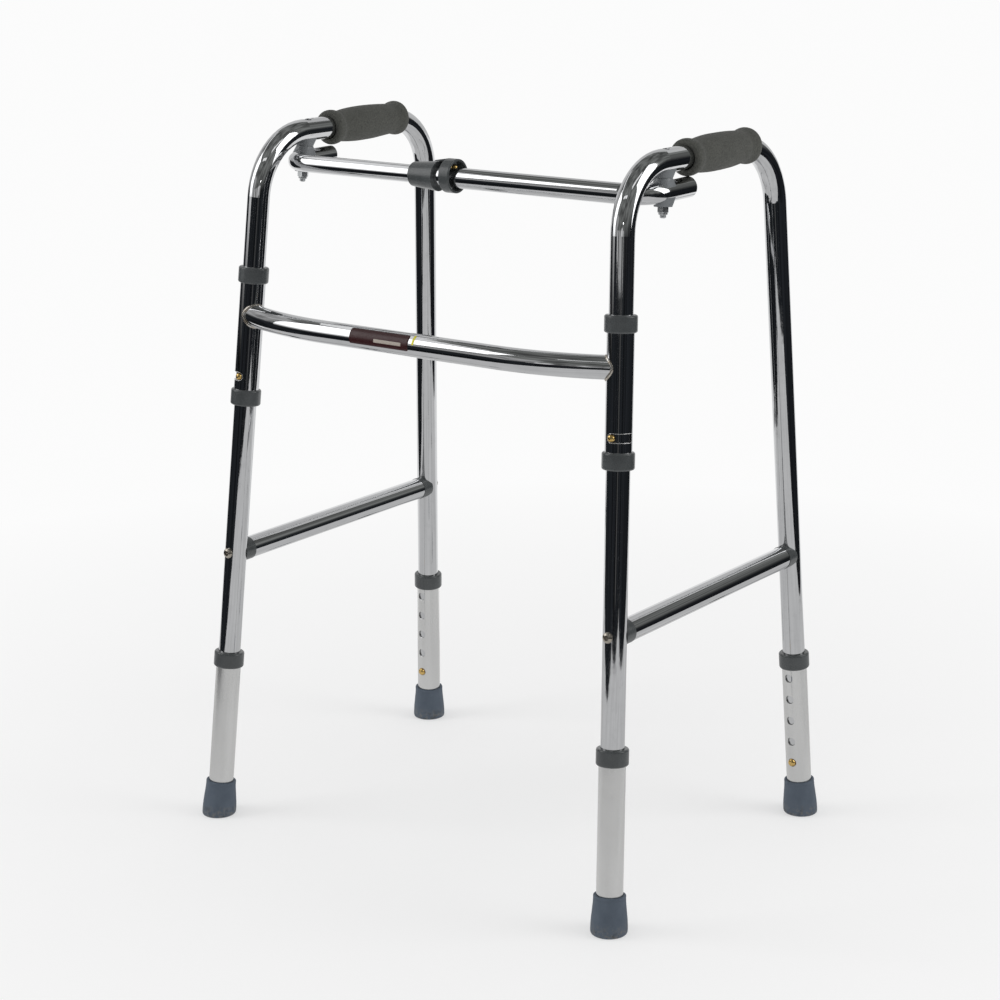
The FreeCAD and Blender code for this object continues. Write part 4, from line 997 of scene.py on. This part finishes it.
def make_lights():
    """Two soft boxes, a small lamp by the camera, and panels for what else the tubes reflect."""
    soft_box("left_box", -51, 24, 28, 44).visible_glossy = False
    panel("left_box_face", -51, 20, 28, 52, fading_glow("left_box_face", BOX_RADIANCE, fade=0.42))
    soft_box("right_box", 114, 28, 28, 46, roll=18)
    soft_box("lamp_by_camera", 36, 19, 2.2, 2.2, distance=2.3, radiance=9.0)
    panel("left_wall", -88, 22, 40, 32, glow("left_wall", 0.60, 0.22, 2.2))
    panel("front_wall", -24, 16, 26, 22, glow("front_wall", 0.55, 0.22, 2.2))
    panel("ceiling_lamp_left", -84, 50, 34, 6, glow("ceiling_lamp_left", 1.1, 0.8, 3.0))
    panel("ceiling_lamp_front", 8, 52, 26, 4, glow("ceiling_lamp_front", 1.4, 0.9, 3.0))
    panel("ceiling_lamp_right", 78, 58, 26, 7, glow("ceiling_lamp_right", 1.3, 0.8, 3.0))
    panel("doorway", 30, 10, 12, 9, glow("doorway", 0.8, 0.3, 3.0))
    panel("far_wall", 14, 8, 58, 11, glow("far_wall", 0.75, 0.10, 3.2, 0.4))
    panel("corridor", 34, -3, 8, 16, glow("corridor", 0.13, 0.05, 3.0, 0.3))


def background(tree, strength):
    node = tree.nodes.new("ShaderNodeBackground")
    node.inputs["Strength"].default_value = strength
    node.inputs["Color"].default_value = (1, 1, 1, 1)
    return node


def dim_room(tree):
    """A cluttered room, dark below the horizon and grey above."""
    place = tree.nodes.new("ShaderNodeTexCoord")
    clutter = tree.nodes.new("ShaderNodeTexNoise")
    clutter.inputs["Scale"].default_value = 5.0
    clutter.inputs["Detail"].default_value = 4.0
    tree.links.new(place.outputs["Generated"], clutter.inputs["Vector"])
    contrast = map_range(tree, clutter.outputs["Fac"], (0.35, 0.65, 0.45, 1.5))
    parts = tree.nodes.new("ShaderNodeSeparateXYZ")
    tree.links.new(place.outputs["Generated"], parts.inputs["Vector"])
    rise = tree.nodes.new("ShaderNodeValToRGB")
    low, high = rise.color_ramp.elements
    low.position = 0.0
    low.color = (*ROOM_BELOW, 1)
    high.position = math.sin(ROOM_RAMP_TOP)
    high.color = (*ROOM_ABOVE, 1)
    tree.links.new(parts.outputs["Z"], rise.inputs["Fac"])
    room = background(tree, 1.0)
    tree.links.new(rise.outputs["Color"], room.inputs["Color"])
    tree.links.new(contrast.outputs["Result"], room.inputs["Strength"])
    return room


def either(tree, switch, otherwise, chosen):
    """The shader chosen where switch is one, and otherwise where it is nought."""
    node = tree.nodes.new("ShaderNodeMixShader")
    tree.links.new(switch, node.inputs["Fac"])
    tree.links.new(otherwise, node.inputs[1])
    tree.links.new(chosen, node.inputs[2])
    return node.outputs["Shader"]


def make_world():
    """Pale for the camera, even for soft light, and a dim room for reflections."""
    world = bpy.data.worlds.new("studio")
    bpy.context.scene.world = world
    world.use_nodes = True
    tree = world.node_tree
    tree.nodes.clear()
    rays = tree.nodes.new("ShaderNodeLightPath")
    room, ambient, backdrop = (node.outputs["Background"] for node in (
        dim_room(tree), background(tree, AMBIENT), background(tree, BACKGROUND)))
    lit = either(tree, rays.outputs["Is Glossy Ray"], ambient, room)
    seen = either(tree, rays.outputs["Is Camera Ray"], lit, backdrop)
    output = tree.nodes.new("ShaderNodeOutputWorld")
    tree.links.new(seen, output.inputs["Surface"])


make_floor()
make_sweep()
make_lights()
make_world()
bpy.context.scene.view_settings.view_transform = "Standard"
